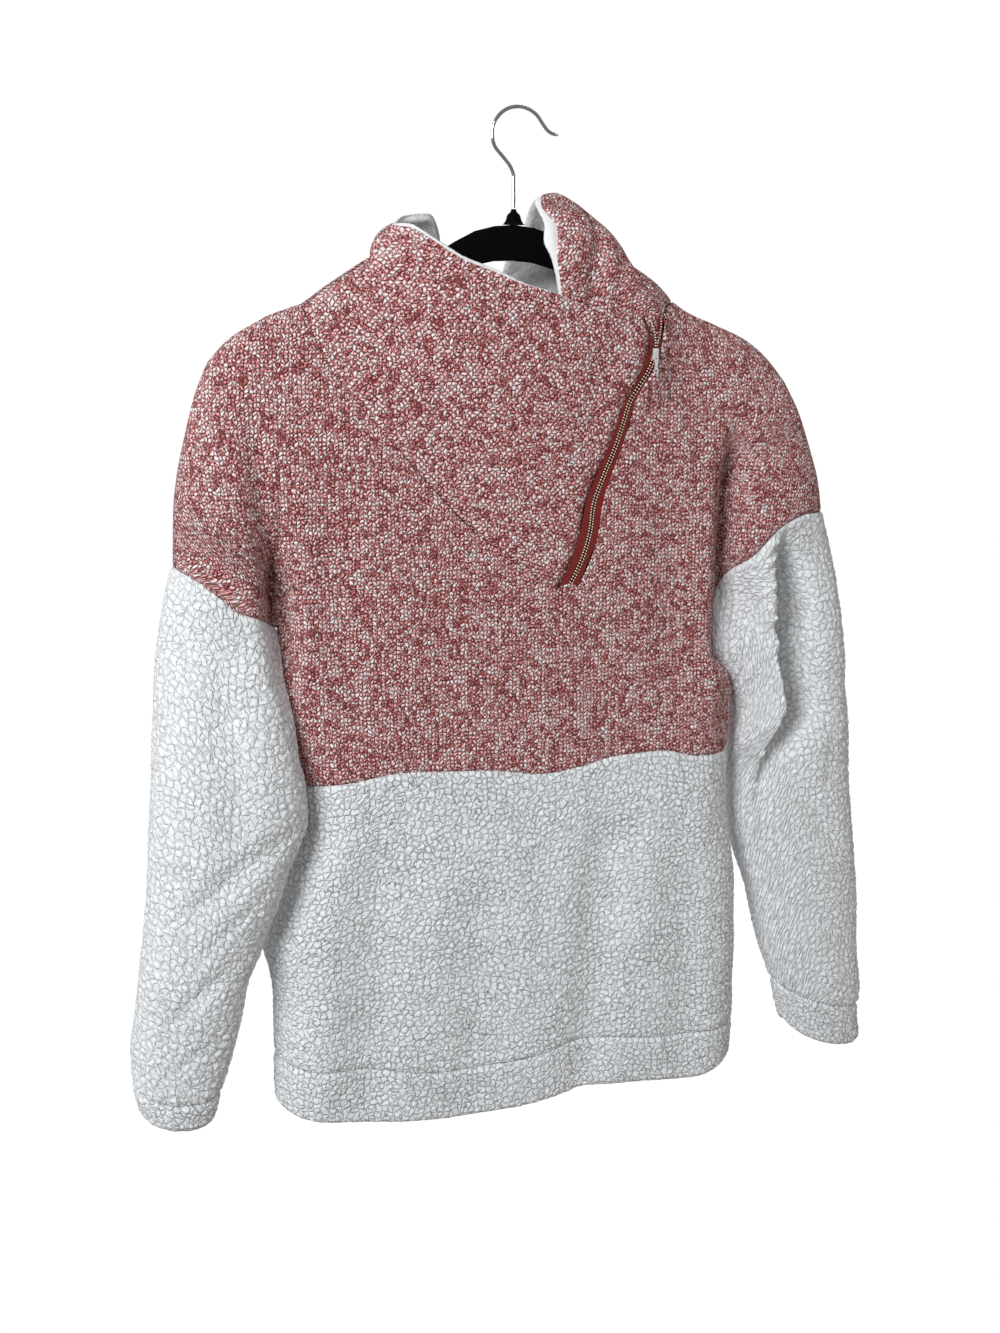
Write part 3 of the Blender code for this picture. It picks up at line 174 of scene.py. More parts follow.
# Forward depth of the front and rearward depth of the back, by height.
FRONT_DEPTH = [(-90, 34), (-250, 34), (-420, 32), (-511, 33), (-650, 36), (-760, 34), (-800, 31)]
BACK_DEPTH = [(-90, 30), (-250, 31), (-420, 30), (-511, 31), (-650, 33), (-760, 31), (-800, 29)]
TENT_SHARE = 0.25       # share of the depth that the cloth gains just below the hanger
TENT_TURN = 13.0        # length over which it turns over the hanger
TENT_LENGTH = 70.0      # length over which the rest of the depth is gained
ARM_ROUND = 48.0        # length over which the outer arm rounds away
SIDE_ROUND = 42.0       # length over which the body rounds away at its side seams
FOLD_ROUND_BODY = {"left": 26.0, "right": 13.0}
FOLD_ROUND_ARM = {"left": 26.0, "right": 34.0}
FOLD_FOOT = 20.0        # length over which a fold's floor turns under at the underarm
FOLD_FLOOR = 0.42       # share of the depth that is left on a fold's floor there
FOLD_FADE = 30.0        # half the length over which a pressed fold fades out at its ends
SLEEVE_FOLD_FADE = 25.0
ARM_BLEND = (-185.0, 110.0)     # height below which the arm's rounding takes over, and its length
ARM_BLEND_ACROSS = (150.0, 70.0)
FOLD_TOP = {"left": -215.0, "right": -195.0}

# Sleeves: height, outer edge, inner edge, middle's depth (y) and half thickness.
LEFT_SLEEVE_OUT = [(-342, -268.5), (-376, -277), (-434, -285.5), (-500, -290.5), (-579, -297.5),
                   (-611, -300.5), (-651, -306), (-690, -311.5), (-716, -315.5), (-739, -315.5), (-762, -311)]
LEFT_SLEEVE_IN = [(-391, -191), (-404, -189.5), (-431, -187.5), (-453, -183.5), (-491, -179.5),
                  (-512, -175.5), (-537, -174.5), (-557, -180.5), (-578, -190.5), (-603, -199), (-628, -209),
                  (-646, -215), (-665, -224), (-700, -232), (-732, -240.5), (-750, -246.5), (-772, -252)]
RIGHT_SLEEVE_OUT = [(-311, 269), (-343, 278), (-368, 285), (-409, 292.5), (-451, 298), (-494, 304),
                    (-550, 308.5), (-610, 316), (-652, 320.5), (-710, 323.5), (-746, 327.5),
                    (-757, 325.5), (-785, 329)]
RIGHT_SLEEVE_IN = [(-429, 171), (-441, 181), (-456, 193), (-483, 199), (-510, 198), (-556, 198), (-580, 200),
                   (-602, 205), (-642, 219), (-694, 232), (-728, 244), (-751, 250), (-772, 256)]
SLEEVE_MIDDLE = {
    "left": [(-330, 0), (-390, 0), (-440, -10), (-500, -22), (-600, -26), (-790, -20)],
    "right": [(-300, 0), (-430, 0), (-470, 6), (-560, 8), (-790, 4)],
}
SLEEVE_DEPTH = [(-310, 27), (-430, 30), (-520, 34), (-640, 31), (-735, 26), (-790, 23)]
SLEEVE_FLAT = 0.75      # below 1 flattens the sleeve's front and back
SLEEVE_FADE = 0.35      # share of the sleeve over which the armhole's shape fades out
CUFF_TOP = {"left": (-741, -752), "right": (-755, -729)}
CUFF_END = {"left": (-764, -774), "right": (-787, -768)}
CUFF_SAG = {"left": (10, 9), "right": (7, 10)}

# Soft folds pressed into the body: ends of the fold, its depth (+ is a trough) and half width.
BODY_FOLDS = [
    # x0, z0, x1, z1, depth, width
    (-118, -560, -128, -790, 5.0, 22.0),
    (-30, -600, -42, -800, 3.5, 24.0),
    (72, -560, 52, -800, 6.0, 20.0),
    (140, -600, 150, -790, 3.5, 20.0),
    (-150, -300, -140, -480, 3.0, 20.0),
    (120, -260, 128, -450, 3.0, 18.0),
    (122, -110, 98, -212, -17.0, 22.0),
]
BACK_FOLDS = [
    (-90, -250, -110, -480, 4.0, 26.0),
    (85, -230, 105, -500, 4.5, 26.0),
    (5, -420, -12, -790, 5.0, 30.0),
    (-125, -560, -120, -790, 5.0, 24.0),
    (120, -580, 128, -790, 4.5, 22.0),
]
# Folds along the sleeves' fronts: place across (0 outer, 1 inner) at both ends, heights, depth, half width.
SLEEVE_FOLDS = {
    "left": [(0.45, 0.55, -420, -560, 3.5, 0.13), (0.9, 0.35, -540, -600, 4.5, 0.14),
             (0.75, 0.3, -640, -690, 3.0, 0.12)],
    "right": [(0.25, 0.62, -600, -530, 5.0, 0.12),
              (0.2, 0.8, -690, -640, 3.5, 0.12)],
}

# Columns and rows of the knit pieces' net, before each step is split.
UPPER_ROWS = [0, 0.025, 0.08, 0.17, 0.29, 0.43, 0.57, 0.71, 0.86, 1]
SIDE_ROWS = 4
SHOULDER_COLUMNS = 2
SLANT_COLUMNS = 9
ZIP_COLUMNS = 6
RIGHT_COLUMNS = 3
BACK_SHOULDER = [(-192, -156), (-180, -151.5), (-167, -147), (-149, -134.5), (-131, -122.5), (-114.5, -112)]
ARM_COLUMNS = 6
COLLAR_SHARES = [0, 0.14, 0.32, 0.5, 0.67, 0.84, 1]
FUNNEL_ROWS = SHOULDER_ROWS + len(COLLAR_SHARES) - 1
ROW_SPLIT = 7           # each step down a knit piece is split into this many
COLUMN_SPLIT = 5        # each step across its front
STATION_SPLIT = 4       # each step across its back and round its collar
SKIRT_ROWS = 48
BAND_ROWS = 9
SLEEVE_ROWS = 78
CUFF_ROWS = 8


# Creases of the looks alone: ends, depth (+ is a trough) and half width, as for the folds above.
FRONT_CREASES = [
    # x0, z0, x1, z1, depth, width
    (-150, -190, -128, -260, 1.2, 12.0),
    (-60, -400, -72, -505, 1.4, 20.0),
    (60, -400, 66, -500, 1.6, 18.0),
    (150, -230, 146, -330, 1.6, 13.0),
    (-95, -540, -88, -640, 1.2, 14.0),
    (10, -540, 22, -690, 1.5, 17.0),
    (112, -540, 104, -660, -1.3, 15.0),
    (-160, -620, -168, -780, -1.4, 12.0),
    (172, -560, 166, -700, 1.3, 11.0),
    (181, -255, 175, -425, 26.0, 9.0),
    (190, -440, 190, -500, 16.0, 15.0),
    (-207, -235, -196, -350, 8.0, 11.0),
    (-193, -342, -189, -430, 34.0, 9.0),
    (-149, -206, -10, -352, 2.2, 6.5),
]
BACK_CREASES = [
    (-60, -240, -76, -400, 1.4, 16.0),
    (40, -260, 52, -470, 1.6, 18.0),
    (-150, -230, -140, -330, 1.5, 13.0),
    (146, -240, 150, -360, 1.4, 14.0),
    (70, -560, 62, -720, -1.4, 15.0),
    (-70, -590, -82, -780, 1.5, 17.0),
    (165, -640, 170, -790, 1.2, 11.0),
]
# Creases of the sleeves: place across at both ends, heights, depth and half width.
SLEEVE_CREASES = {
    "left": [(0.2, 0.75, -470, -440, 1.3, 0.07), (0.85, 0.4, -590, -640, 1.6, 0.07),
             (0.15, 0.6, -560, -585, 1.1, 0.06), (0.8, 0.3, -700, -735, 1.2, 0.07)],
    "right": [(0.8, 0.62, -400, -520, 1.5, 0.06), (0.15, 0.3, -430, -560, 1.2, 0.08),
              (0.25, 0.75, -650, -600, 1.4, 0.07), (0.8, 0.35, -735, -700, 1.2, 0.06)],
}

# Lap of the right sleeve: height, the place across of its edge, how far the edge rises, and how far the
# cloth beside it drops.
SLEEVE_LAP = [(-322, 241, 0, 0), (-348, 241, 7, 14), (-371, 236, 9, 28), (-398, 233.5, 11, 35),
              (-413, 231.5, 12, 38), (-436, 231, 12, 38), (-473, 231.5, 12, 38), (-485, 229, 11, 35),
              (-498, 221, 8.5, 24), (-512, 215, 6, 14), (-528, 210.5, 4, 8), (-555, 208, 1.8, 3.5),
              (-571, 210, 1.2, 2.4), (-600, 215, 0.9, 2), (-632, 226, 0.7, 1.6), (-661, 230, 0.5, 1.2),
              (-689, 234, 0, 0)]
LAP_EDGE = 3.4          # length over which the cloth falls from the lap's edge
LAP_BACK = 17.0         # half width of the lap itself
LAP_TROUGH = 28.0       # half width of the trough beside it

# Creases of the funnel front: points along each, depth (+ is a trough) and half width.
FUNNEL_CREASES = [
    ([(-113, -128.5), (-87, -132.5), (-57, -138)], 2.6, 4.5),
    ([(-129, -140), (-122, -150), (-109, -153), (-101, -156.5)], 2.2, 4.0),
    ([(33, -154.5), (42, -158), (51, -162.5)], 2.2, 4.0),
    ([(-81, -146), (-4, -167), (60, -181)], -1.8, 14.0),
    ([(-148, -168), (-96, -218), (-43, -248)], 2.0, 11.0),
    ([(76, -166), (60, -203), (52, -241)], 2.0, 9.0),
    ([(-60, -190), (-10, -230), (20, -290)], -1.5, 14.0),
    ([(-146, -178), (-111, -229), (-66, -280), (-30, -316), (0, -338), (30, -355)], -2.0, 5.5),
]

# Pile: the share of a pebble's size over which it falls to its crease, the share over which its dome is
# rounded and the dome's part of its height, and how far the pile sinks at a seam.
CREASE_SHARE = 0.25
DOME_SHARE = 0.5
DOME_PART = 0.5
SWELL_LENGTH = 95.0
SWELL_HEIGHT = 0.7
SEAM_SINK = (1.3, 2.6)   # depth and length
SIDE_SINK = (0.8, 2.2)
CUFF_SINK = (1.8, 2.4)
HEM_SINK = (1.6, 1.6)
SEAM_PLANE = 1e-6
SLEEVE_JOIN = 0.56      # share of the way round a sleeve at which the pile's two directions meet
LINING_STEP = 1.6
LINING_PEBBLE = 2.8
LINING_HEIGHT = 0.4
BIAS = math.radians(-45)

# Teeth of the zip: half sizes of one, how far a row lies off the middle, and its depth below the tapes' face.
TOOTH_SIZE = np.array([0.72, 0.6, 0.62])
TOOTH_SIDES = 7
TOOTH_RINGS = 3
TOOTH_OFFSET = 1.1
TOOTH_DEPTH = -0.35
TAPE_SINK = 0.5
OPEN_REACH = 5.6        # how far an open row of teeth lies from its cloth edge
THREADS = 7800.0        # turns of the tape's weave in a metre, times two pi

# Shader noises: features in a metre, then how far each reaches.
WOBBLE_SCALE, WOBBLE_REACH, WOBBLE_ACROSS = 260.0, 0.45, 0.6    # the stitches' places
STRAND_SCALE, STRAND_REACH, STRAND_SINK = 620.0, 1.9, 0.66      # shade of the yarn's strands
PATCH_SCALE, PATCH_REACH = 90.0, 0.5                            # shade of whole patches of knit
OWN_REACH = 0.46        # part of each loop's own random shade
LOOP_STEEPNESS = 2.6    # how steeply a loop falls to its edge
# Painted shade in the knit's gaps: how dark, how the strands break it, where it starts and how fast it grows.
GAP_SHADE, GAP_STRAND = 1.75, 1.5
GAP_START, GAP_GAIN = 0.12, 1.35
WANDER_SCALE, WANDER_REACH = 230.0, 0.007                       # the curls' grain, in metres
CURL_SCATTER = 0.9      # randomness of the curls' points
LINE_STEEPNESS, CURL_STEEPNESS = 6.5, 2.8
# Where the curls' painted crease shade fades out, close to and over wide stretches, and its least share.
NEAR_SCALE, NEAR_START, NEAR_REACH = 190.0, 0.36, 3.2           # where creases fade, close to
WIDE_SCALE, WIDE_REACH = 26.0, 1.8                              # and over wide stretches
LEAST_CREASE = 0.12
NAP_FINE, NAP_SLOW = 0.4, 0.6
LIT = (0.0, 0.0, -0.42)     # where the lights aim
FLOOR_Z, WALL_REACH, WALL_BEND, WALL_TOP = -1.25, 3.0, 1.0, 3.0     # backdrop, in metres


def hermite(at, xs, ys):
    """Cubic through the points (xs, ys) whose slopes are limited, so it never overshoots."""
    xs = np.asarray(xs, float)
    ys = np.asarray(ys, float)
    if xs[0] > xs[-1]:
        xs, ys = xs[::-1], ys[::-1]
    at = np.clip(np.asarray(at, float), xs[0], xs[-1])
    step = np.diff(xs)
    rise = np.diff(ys) / step
    slope = np.zeros_like(ys)
    slope[0], slope[-1] = rise[0], rise[-1]
    same = rise[:-1] * rise[1:] > 0
    mean = 2 * rise[:-1] * rise[1:] / np.where(same, rise[:-1] + rise[1:], 1)
    slope[1:-1] = np.where(same, mean, 0)
    k = np.clip(np.searchsorted(xs, at) - 1, 0, len(step) - 1)
    t = (at - xs[k]) / step[k]
    return (ys[k] * (1 + 2 * t) * (1 - t) ** 2 + ys[k + 1] * t * t * (3 - 2 * t)
            + step[k] * (slope[k] * t * (1 - t) ** 2 + slope[k + 1] * t * t * (t - 1)))


def read(table, at, column=1):
    """A table's column at the given values of its first column."""
    rows = np.asarray(table, float)
    return hermite(at, rows[:, 0], rows[:, column])


def spaced(points, shares):
    """Points at the given shares of a polyline's length, on a smooth curve through its corners."""
    points = np.asarray(points, float)
    length = np.concatenate([[0], np.cumsum(np.linalg.norm(np.diff(points, axis=0), axis=1))])
    at = np.asarray(shares, float) * length[-1]
    return np.stack([hermite(at, length, points[:, k]) for k in range(points.shape[1])], -1)


def even(count):
    """Shares from 0 to 1 in equal steps."""
    return np.linspace(0, 1, count + 1)


def turning(q):
    """Quarter ellipse: rises steeply from 0 and is flat at 1."""
    q = np.clip(q, 0, 1)
    return np.sqrt(1 - (1 - q) ** 2)


def eased(q):
    """Smooth step from 0 to 1."""
    q = np.clip(q, 0, 1)
    return q * q * (3 - 2 * q)


def coons(top, bottom, left, right):
    """Surface patch between four edges; rows run from top to bottom."""
    u = even(len(top) - 1)[None, :, None]
    v = even(len(left) - 1)[:, None, None]
    ruled_rows = (1 - v) * top[None] + v * bottom[None]
    ruled_columns = (1 - u) * left[:, None] + u * right[:, None]
    corners = ((1 - v) * ((1 - u) * top[0] + u * top[-1]) + v * ((1 - u) * bottom[0] + u * bottom[-1]))
    return ruled_rows + ruled_columns - corners


def distance(x, z, outline):
    """Distance from points to an open polyline."""
    outline = np.asarray(outline, float)
    best = np.full(np.shape(x), 1e9)
    for (x0, z0), (x1, z1) in zip(outline[:-1], outline[1:]):
        dx, dz = x1 - x0, z1 - z0
        t = np.clip(((x - x0) * dx + (z - z0) * dz) / (dx * dx + dz * dz), 0, 1)
        best = np.minimum(best, np.hypot(x - x0 - t * dx, z - z0 - t * dz))
    return best


def fold_relief(x, z, folds):
    """Sum of soft troughs: each is deepest along its middle and fades out at its ends."""
    total = np.zeros(np.shape(x))
    for x0, z0, x1, z1, depth, width in folds:
        along = np.clip((z - z0) / (z1 - z0), 0, 1)
        middle = x0 + (x1 - x0) * along
        ends = (eased((z0 + FOLD_FADE - z) / (2 * FOLD_FADE))
                * eased((z - z1 + FOLD_FADE) / (2 * FOLD_FADE)))
        total += depth * ends * np.exp(-((x - middle) / width) ** 2)
    return total


def outline(*stretches):
    """Fine polyline along several smooth stretches, one after the other."""
    start = [np.asarray(stretches[0][0], float)[None]]
    return np.concatenate(start + [spaced(points, even(24))[1:] for points in stretches])


LEFT_OUTLINE = outline(LEFT_NECK[::-1], LEFT_INNER_SHOULDER[::-1], LEFT_SHOULDER, LEFT_ARM)
RIGHT_OUTLINE = outline(RIGHT_INNER_SHOULDER, RIGHT_SHOULDER, RIGHT_ARM)


def fold_share(x, z, hand):
    """Share of the depth that is left near an underarm fold or side seam."""
    fold = LEFT_FOLD if hand == "left" else RIGHT_FOLD
    side = LEFT_SIDE if hand == "left" else RIGHT_SIDE
    foot = fold[0][0]
    place = np.where(z > foot, read(fold, z), read(side, z))
    above = np.clip(z - foot, 0, None)
    climb = eased(above / (FOLD_TOP[hand] - foot))
    kept = turning(above / FOLD_FOOT) * (FOLD_FLOOR + (1 - FOLD_FLOOR) * climb)
    body_side = x > place if hand == "left" else x < place
    below = eased((foot - z) / 60)
    body_round = FOLD_ROUND_BODY[hand] * (1 - below) + SIDE_ROUND * below
    across = np.abs(x - place) / np.where(body_side, body_round, FOLD_ROUND_ARM[hand])
    return 1 - (1 - kept) * (1 - turning(across))


def finer(points, times):
    """Points of a row with each step split into several, on a smooth curve through them."""
    points = np.asarray(points, float)
    at = even((len(points) - 1) * times)
    columns = points.reshape(len(points), -1).T
    made = np.stack([hermite(at, even(len(points) - 1), column) for column in columns], -1)
    return made.reshape(-1, *points.shape[1:])


def depth(x, z, face):
    """Distance of the cloth from the middle plane: a tent off the shoulders that a quarter ellipse rounds
    at the arms, times what the underarm folds leave of it, less the pressed folds and creases."""
    full = read(FRONT_DEPTH if face == "front" else BACK_DEPTH, z)
    edge = np.minimum(distance(x, z, LEFT_OUTLINE), distance(x, z, RIGHT_OUTLINE))
    tent = TENT_SHARE * turning(edge / TENT_TURN) + (1 - TENT_SHARE) * (1 - np.exp(-edge / TENT_LENGTH))
    rounded = turning(edge / ARM_ROUND)
    blend = (eased((ARM_BLEND[0] - z) / ARM_BLEND[1])
             * eased((np.abs(x) - ARM_BLEND_ACROSS[0]) / ARM_BLEND_ACROSS[1]))
    shaped = full * (tent * (1 - blend) + rounded * blend)
    shaped = shaped * fold_share(x, z, "left") * fold_share(x, z, "right")
    folds = BODY_FOLDS + FRONT_CREASES if face == "front" else BACK_FOLDS + BACK_CREASES
    return shaped - fold_relief(x, z, folds) * np.clip(shaped / 25, 0, 1) ** 2


def lifted(grid, face):
    """Points (x, z) given their depth: the front goes towards -Y, the back towards +Y."""
    x, z = grid[..., 0], grid[..., 1]
    return np.stack([x, (-1 if face == "front" else 1) * depth(x, z, face), z], -1)


def lifted_body(grid, face, underarm, left_shoulder=0, right_shoulder=0):
    """Body cloth whose side seams, below the underarm row, and shoulder seams lie on the middle plane."""
    made = lifted(grid, face)
    made[underarm:, [0, -1], 1] = 0
    if underarm:
        made[0, :left_shoulder + 1, 1] = 0
        made[0, -right_shoulder - 1:, 1] = 0
    return made


def row_shares(hand):
    """Shares of the way from the shoulder to the waist seam, for the left or right end of a row."""
    top = -156.0 if hand == "left" else -158.0
    foot = LEFT_FOLD[0][0] if hand == "left" else RIGHT_FOLD[0][0]
    waist = WAIST_SEAM[0][1] + 2 if hand == "left" else WAIST_SEAM[-1][1]
    underarm = (top - foot) / (top - waist)
    lower = underarm + (1 - underarm) * even(SIDE_ROWS)[1:]
    return finer(np.concatenate([np.array(UPPER_ROWS) * underarm, lower]), ROW_SPLIT)


def waist_columns(count):
    """Places of the columns at the waist, closer together at the sides."""
    left, right = read(LEFT_SIDE, -512.0), read(RIGHT_SIDE, -511.0)
    spread = (1 + np.sin(math.pi / 2 * (2 * even(count) - 1))) / 2
    return left + (right - left) * (0.75 * spread + 0.25 * even(count))


def middle_grid(top):
    """Body between the underarm folds: straight columns from the top edge to the waist seam, whose ends
    lean out to the folds and side seams."""
    count = len(top) - 1
    across = even(count)
    foot_x = waist_columns(count)
    foot_z = read(WAIST_SEAM, foot_x)
    share = row_shares("left")[:, None] * (1 - across) + row_shares("right")[:, None] * across
    z = top[:, 1] + (foot_z - top[:, 1]) * share
    x = top[:, 0] + (foot_x - top[:, 0]) * share
    for fold, side, near, column in ((LEFT_FOLD, LEFT_SIDE, (1 - across) ** 3, 0),
                                     (RIGHT_FOLD, RIGHT_SIDE, across ** 3, -1)):
        edge_z = z[:, column]
        edge = np.where(edge_z > fold[0][0], read(fold, edge_z), read(side, edge_z))
        x = x + (edge - x[:, column])[:, None] * near
    return np.stack([x, z], -1)


def lower_grid(waist):
    """Body below the waist seam, down to the hem: rows of the skirt, then rows of the hem band."""
    start = (waist[:, 0] - waist[0, 0]) / (waist[-1, 0] - waist[0, 0])
    rows = [waist]
    for n in range(1, SKIRT_ROWS + BAND_ROWS + 1):
        skirt, band = min(n / SKIRT_ROWS, 1.0), max(n - SKIRT_ROWS, 0) / BAND_ROWS
        z = waist[:, 1] * (1 - skirt) + BAND_SEAM[0][1] * skirt
        for _ in range(3):
            left, right = read(LEFT_SIDE, z[0]), read(RIGHT_SIDE, z[-1])
            x = left + (right - left) * start
            seam = read(BAND_SEAM, x)
            z = waist[:, 1] + (seam - waist[:, 1]) * skirt + (read(HEM, x) - seam) * band
        rows.append(np.stack([x, z], -1))
    return np.array(rows)


def arm_patch(hand, valley):
    """Cap of the arm: a patch blended between the shoulder line, outer arm, sleeve seam and fold."""
    shoulder, arm, armhole = ((LEFT_SHOULDER, LEFT_ARM, LEFT_ARMHOLE) if hand == "left"
                              else (RIGHT_SHOULDER, RIGHT_ARM, RIGHT_ARMHOLE))
    count = ARM_COLUMNS * COLUMN_SPLIT
    closer = 0.6 * (1 - np.cos(math.pi * even(count))) / 2 + 0.4 * even(count)
    return coons(spaced(shoulder[::-1], closer), spaced(armhole, closer),
                 spaced(arm, finer(UPPER_ROWS, ROW_SPLIT)), valley)


def lifted_arm(grid, valley, face):
    """Cap of an arm: its shoulder and outer edge lie on the middle plane, its fold joins the body's."""
    made = lifted(grid, face)
    made[0, :, 1] = 0
    made[:, 0, 1] = 0
    made[:, -1] = valley
    return made


def lap(x, z):
    """Height of the right sleeve's lap: a bell that ends sharply at the lap's edge, beside a trough."""
    past = x - read(SLEEVE_LAP, z)
    rise, drop = read(SLEEVE_LAP, z, 2), read(SLEEVE_LAP, z, 3)
    fall = np.exp(-(np.clip(past, 0, None) / LAP_EDGE) ** 2)
    bell = np.exp(-(np.clip(-past, 0, None) / LAP_BACK) ** 2)
    return rise * bell * fall - drop * (1 - fall) * np.exp(-(past / LAP_TROUGH) ** 2)


def sleeve_grid(hand, front_seam, back_seam):
    """Sleeve and cuff as flattened ellipses below the sleeve seam, whose shape fades out down the arm;
    columns run over the front, then the back."""
    out, inner = ((LEFT_SLEEVE_OUT, LEFT_SLEEVE_IN) if hand == "left"
                  else (RIGHT_SLEEVE_OUT, RIGHT_SLEEVE_IN))
    ring = np.concatenate([front_seam, back_seam[::-1][1:-1]])
    count = len(front_seam) - 1
    turn = math.pi * np.concatenate([even(count), (1 - even(count))[1:-1]])
    front = np.concatenate([np.ones(count + 1), -np.ones(count - 1)])
    front[[0, count]] = 0
    across, swell = (1 - np.cos(turn)) / 2, np.sin(turn) ** SLEEVE_FLAT
    starts = ring[0, 2], ring[count, 2]
    rows = []
    for n in range(SLEEVE_ROWS + CUFF_ROWS + 1):
        w, cuff = min(n / SLEEVE_ROWS, 1.0), max(n - SLEEVE_ROWS, 0) / CUFF_ROWS
        z_out, z_in = (start + (top - start) * w + (end - top) * cuff
                       for start, top, end in zip(starts, CUFF_TOP[hand], CUFF_END[hand]))
        sag = CUFF_SAG[hand][0] * w ** 3 + (CUFF_SAG[hand][1] - CUFF_SAG[hand][0]) * cuff
        z = z_out + (z_in - z_out) * across - sag * np.sin(turn)
        x_out, x_in = read(out, z_out), read(inner, z_in)
        thick = read(SLEEVE_DEPTH, z) * swell
        for c0, c1, z0, z1, amount, width in SLEEVE_FOLDS[hand] + SLEEVE_CREASES[hand]:
            share = np.clip((z - z0) / (z1 - z0), 0, 1)
            ends = (eased((max(z0, z1) + SLEEVE_FOLD_FADE - z) / (2 * SLEEVE_FOLD_FADE))
                    * eased((z - min(z0, z1) + SLEEVE_FOLD_FADE) / (2 * SLEEVE_FOLD_FADE)))
            dent = amount * ends * np.exp(-((across - c0 - (c1 - c0) * share) / width) ** 2)
            thick = thick - dent * (front > 0) * np.sin(turn)
        x = x_out + (x_in - x_out) * across
        if hand == "right":
            thick = thick + lap(x, z) * (front > 0) * np.sin(turn) ** 0.5
        here = np.stack([x, read(SLEEVE_MIDDLE[hand], z) - front * thick, z], -1)
        if n == 0:
            change = ring - here
        rows.append(here + change * max(0.0, 1 - w / SLEEVE_FADE) ** 2)
    return np.array(rows)


def front_top():
    """Top edge of the front body: shoulder, slanted seam, zip foot, zip edge, neck and shoulder."""
    shoulder = spaced(LEFT_INNER_SHOULDER, even(SHOULDER_COLUMNS * COLUMN_SPLIT))
    slant = spaced(SLANT_SEAM, even(SLANT_COLUMNS * COLUMN_SPLIT))[1:]
    heights = -365.0 + (ZIP_TOP + 365.0) * even(ZIP_COLUMNS * COLUMN_SPLIT)
    edge = np.stack([read(ZIP, heights, 3), heights], -1)
    right = spaced(RIGHT_INNER_SHOULDER, even(RIGHT_COLUMNS * COLUMN_SPLIT))
    between = even(COLUMN_SPLIT)[1:-1, None]
    foot = slant[-1] + (edge[0] - slant[-1]) * between
    foot[:, 1] += FOOT_ARCH * np.sin(math.pi * between[:, 0]) ** 0.5
    neck = edge[-1] + (right[0] - edge[-1]) * between
    return np.concatenate([shoulder, slant, foot, edge, neck, right])


def left_neck():
    """Left edge of the funnel front: rows sewn to the shoulder, then rows sewn to the collar's back."""
    upper = spaced(LEFT_NECK[SHOULDER_ROWS:], COLLAR_SHARES)
    return finer(np.concatenate([np.array(LEFT_NECK[:SHOULDER_ROWS], float), upper]), ROW_SPLIT)


def funnel_grid(slant):
    """Funnel front: a patch from the slanted seam up to the free edge, which swings forward as it rises."""
    free = spaced(FREE_EDGE, even(len(slant) - 1))
    rows = even(FUNNEL_ROWS * ROW_SPLIT)
    heights = ZIP_FOOT + (-155.0 - ZIP_FOOT) * rows
    right = np.stack([read(ZIP, heights, 1), heights], -1)
    right[0], right[-1] = slant[-1, [0, 2]], free[-1, :2]
    plan = coons(slant[:, [0, 2]], free[:, :2], left_neck(), right)
    rise = (rows ** 1.5)[:, None]
    forward = depth(plan[..., 0], plan[..., 1], "front") * (1 - rise) + free[None, :, 2] * rise
    held = turning(rows)[:, None] * turning(even(len(slant) - 1))[None]
    for points, amount, width in FUNNEL_CREASES:
        forward -= held * amount * np.exp(-(distance(plan[..., 0], plan[..., 1], points) / width) ** 2)
    forward[:, 0] = 0
    grid = np.stack([plan[..., 0], -forward, plan[..., 1]], -1)
    grid[0] = slant
    return grid


def collar_grid():
    """Back of the collar: rows go up from the neck seam, columns follow the table's stations."""
    stations = finer([UNDERLAP] + COLLAR, STATION_SPLIT)
    at = finer(COLLAR_SHARES, ROW_SPLIT)
    grid = np.stack([np.stack([hermite(at, even(len(station) - 1), station[:, axis])
                               for axis in range(3)], -1) for station in stations], 1)
    place = (np.arange(len(stations)) / STATION_SPLIT)[None]
    dent = np.zeros(grid.shape[:2])
    for start, end, low, high, amount, width in COLLAR_CREASES:
        share = np.clip((place - start) / (end - start), 0, 1)
        ends = eased(place - start + 0.5) * eased(end - place + 0.5)
        dent += amount * ends * np.exp(-((at[:, None] - low - (high - low) * share) / width) ** 2)
    grid[1:-1] += (normals_of(grid) * dent[..., None])[1:-1]
    left = left_neck()[SHOULDER_ROWS * ROW_SPLIT:]
    grid[:, -1] = np.stack([left[:, 0], 0 * left[:, 0], left[:, 1]], -1)
    return grid


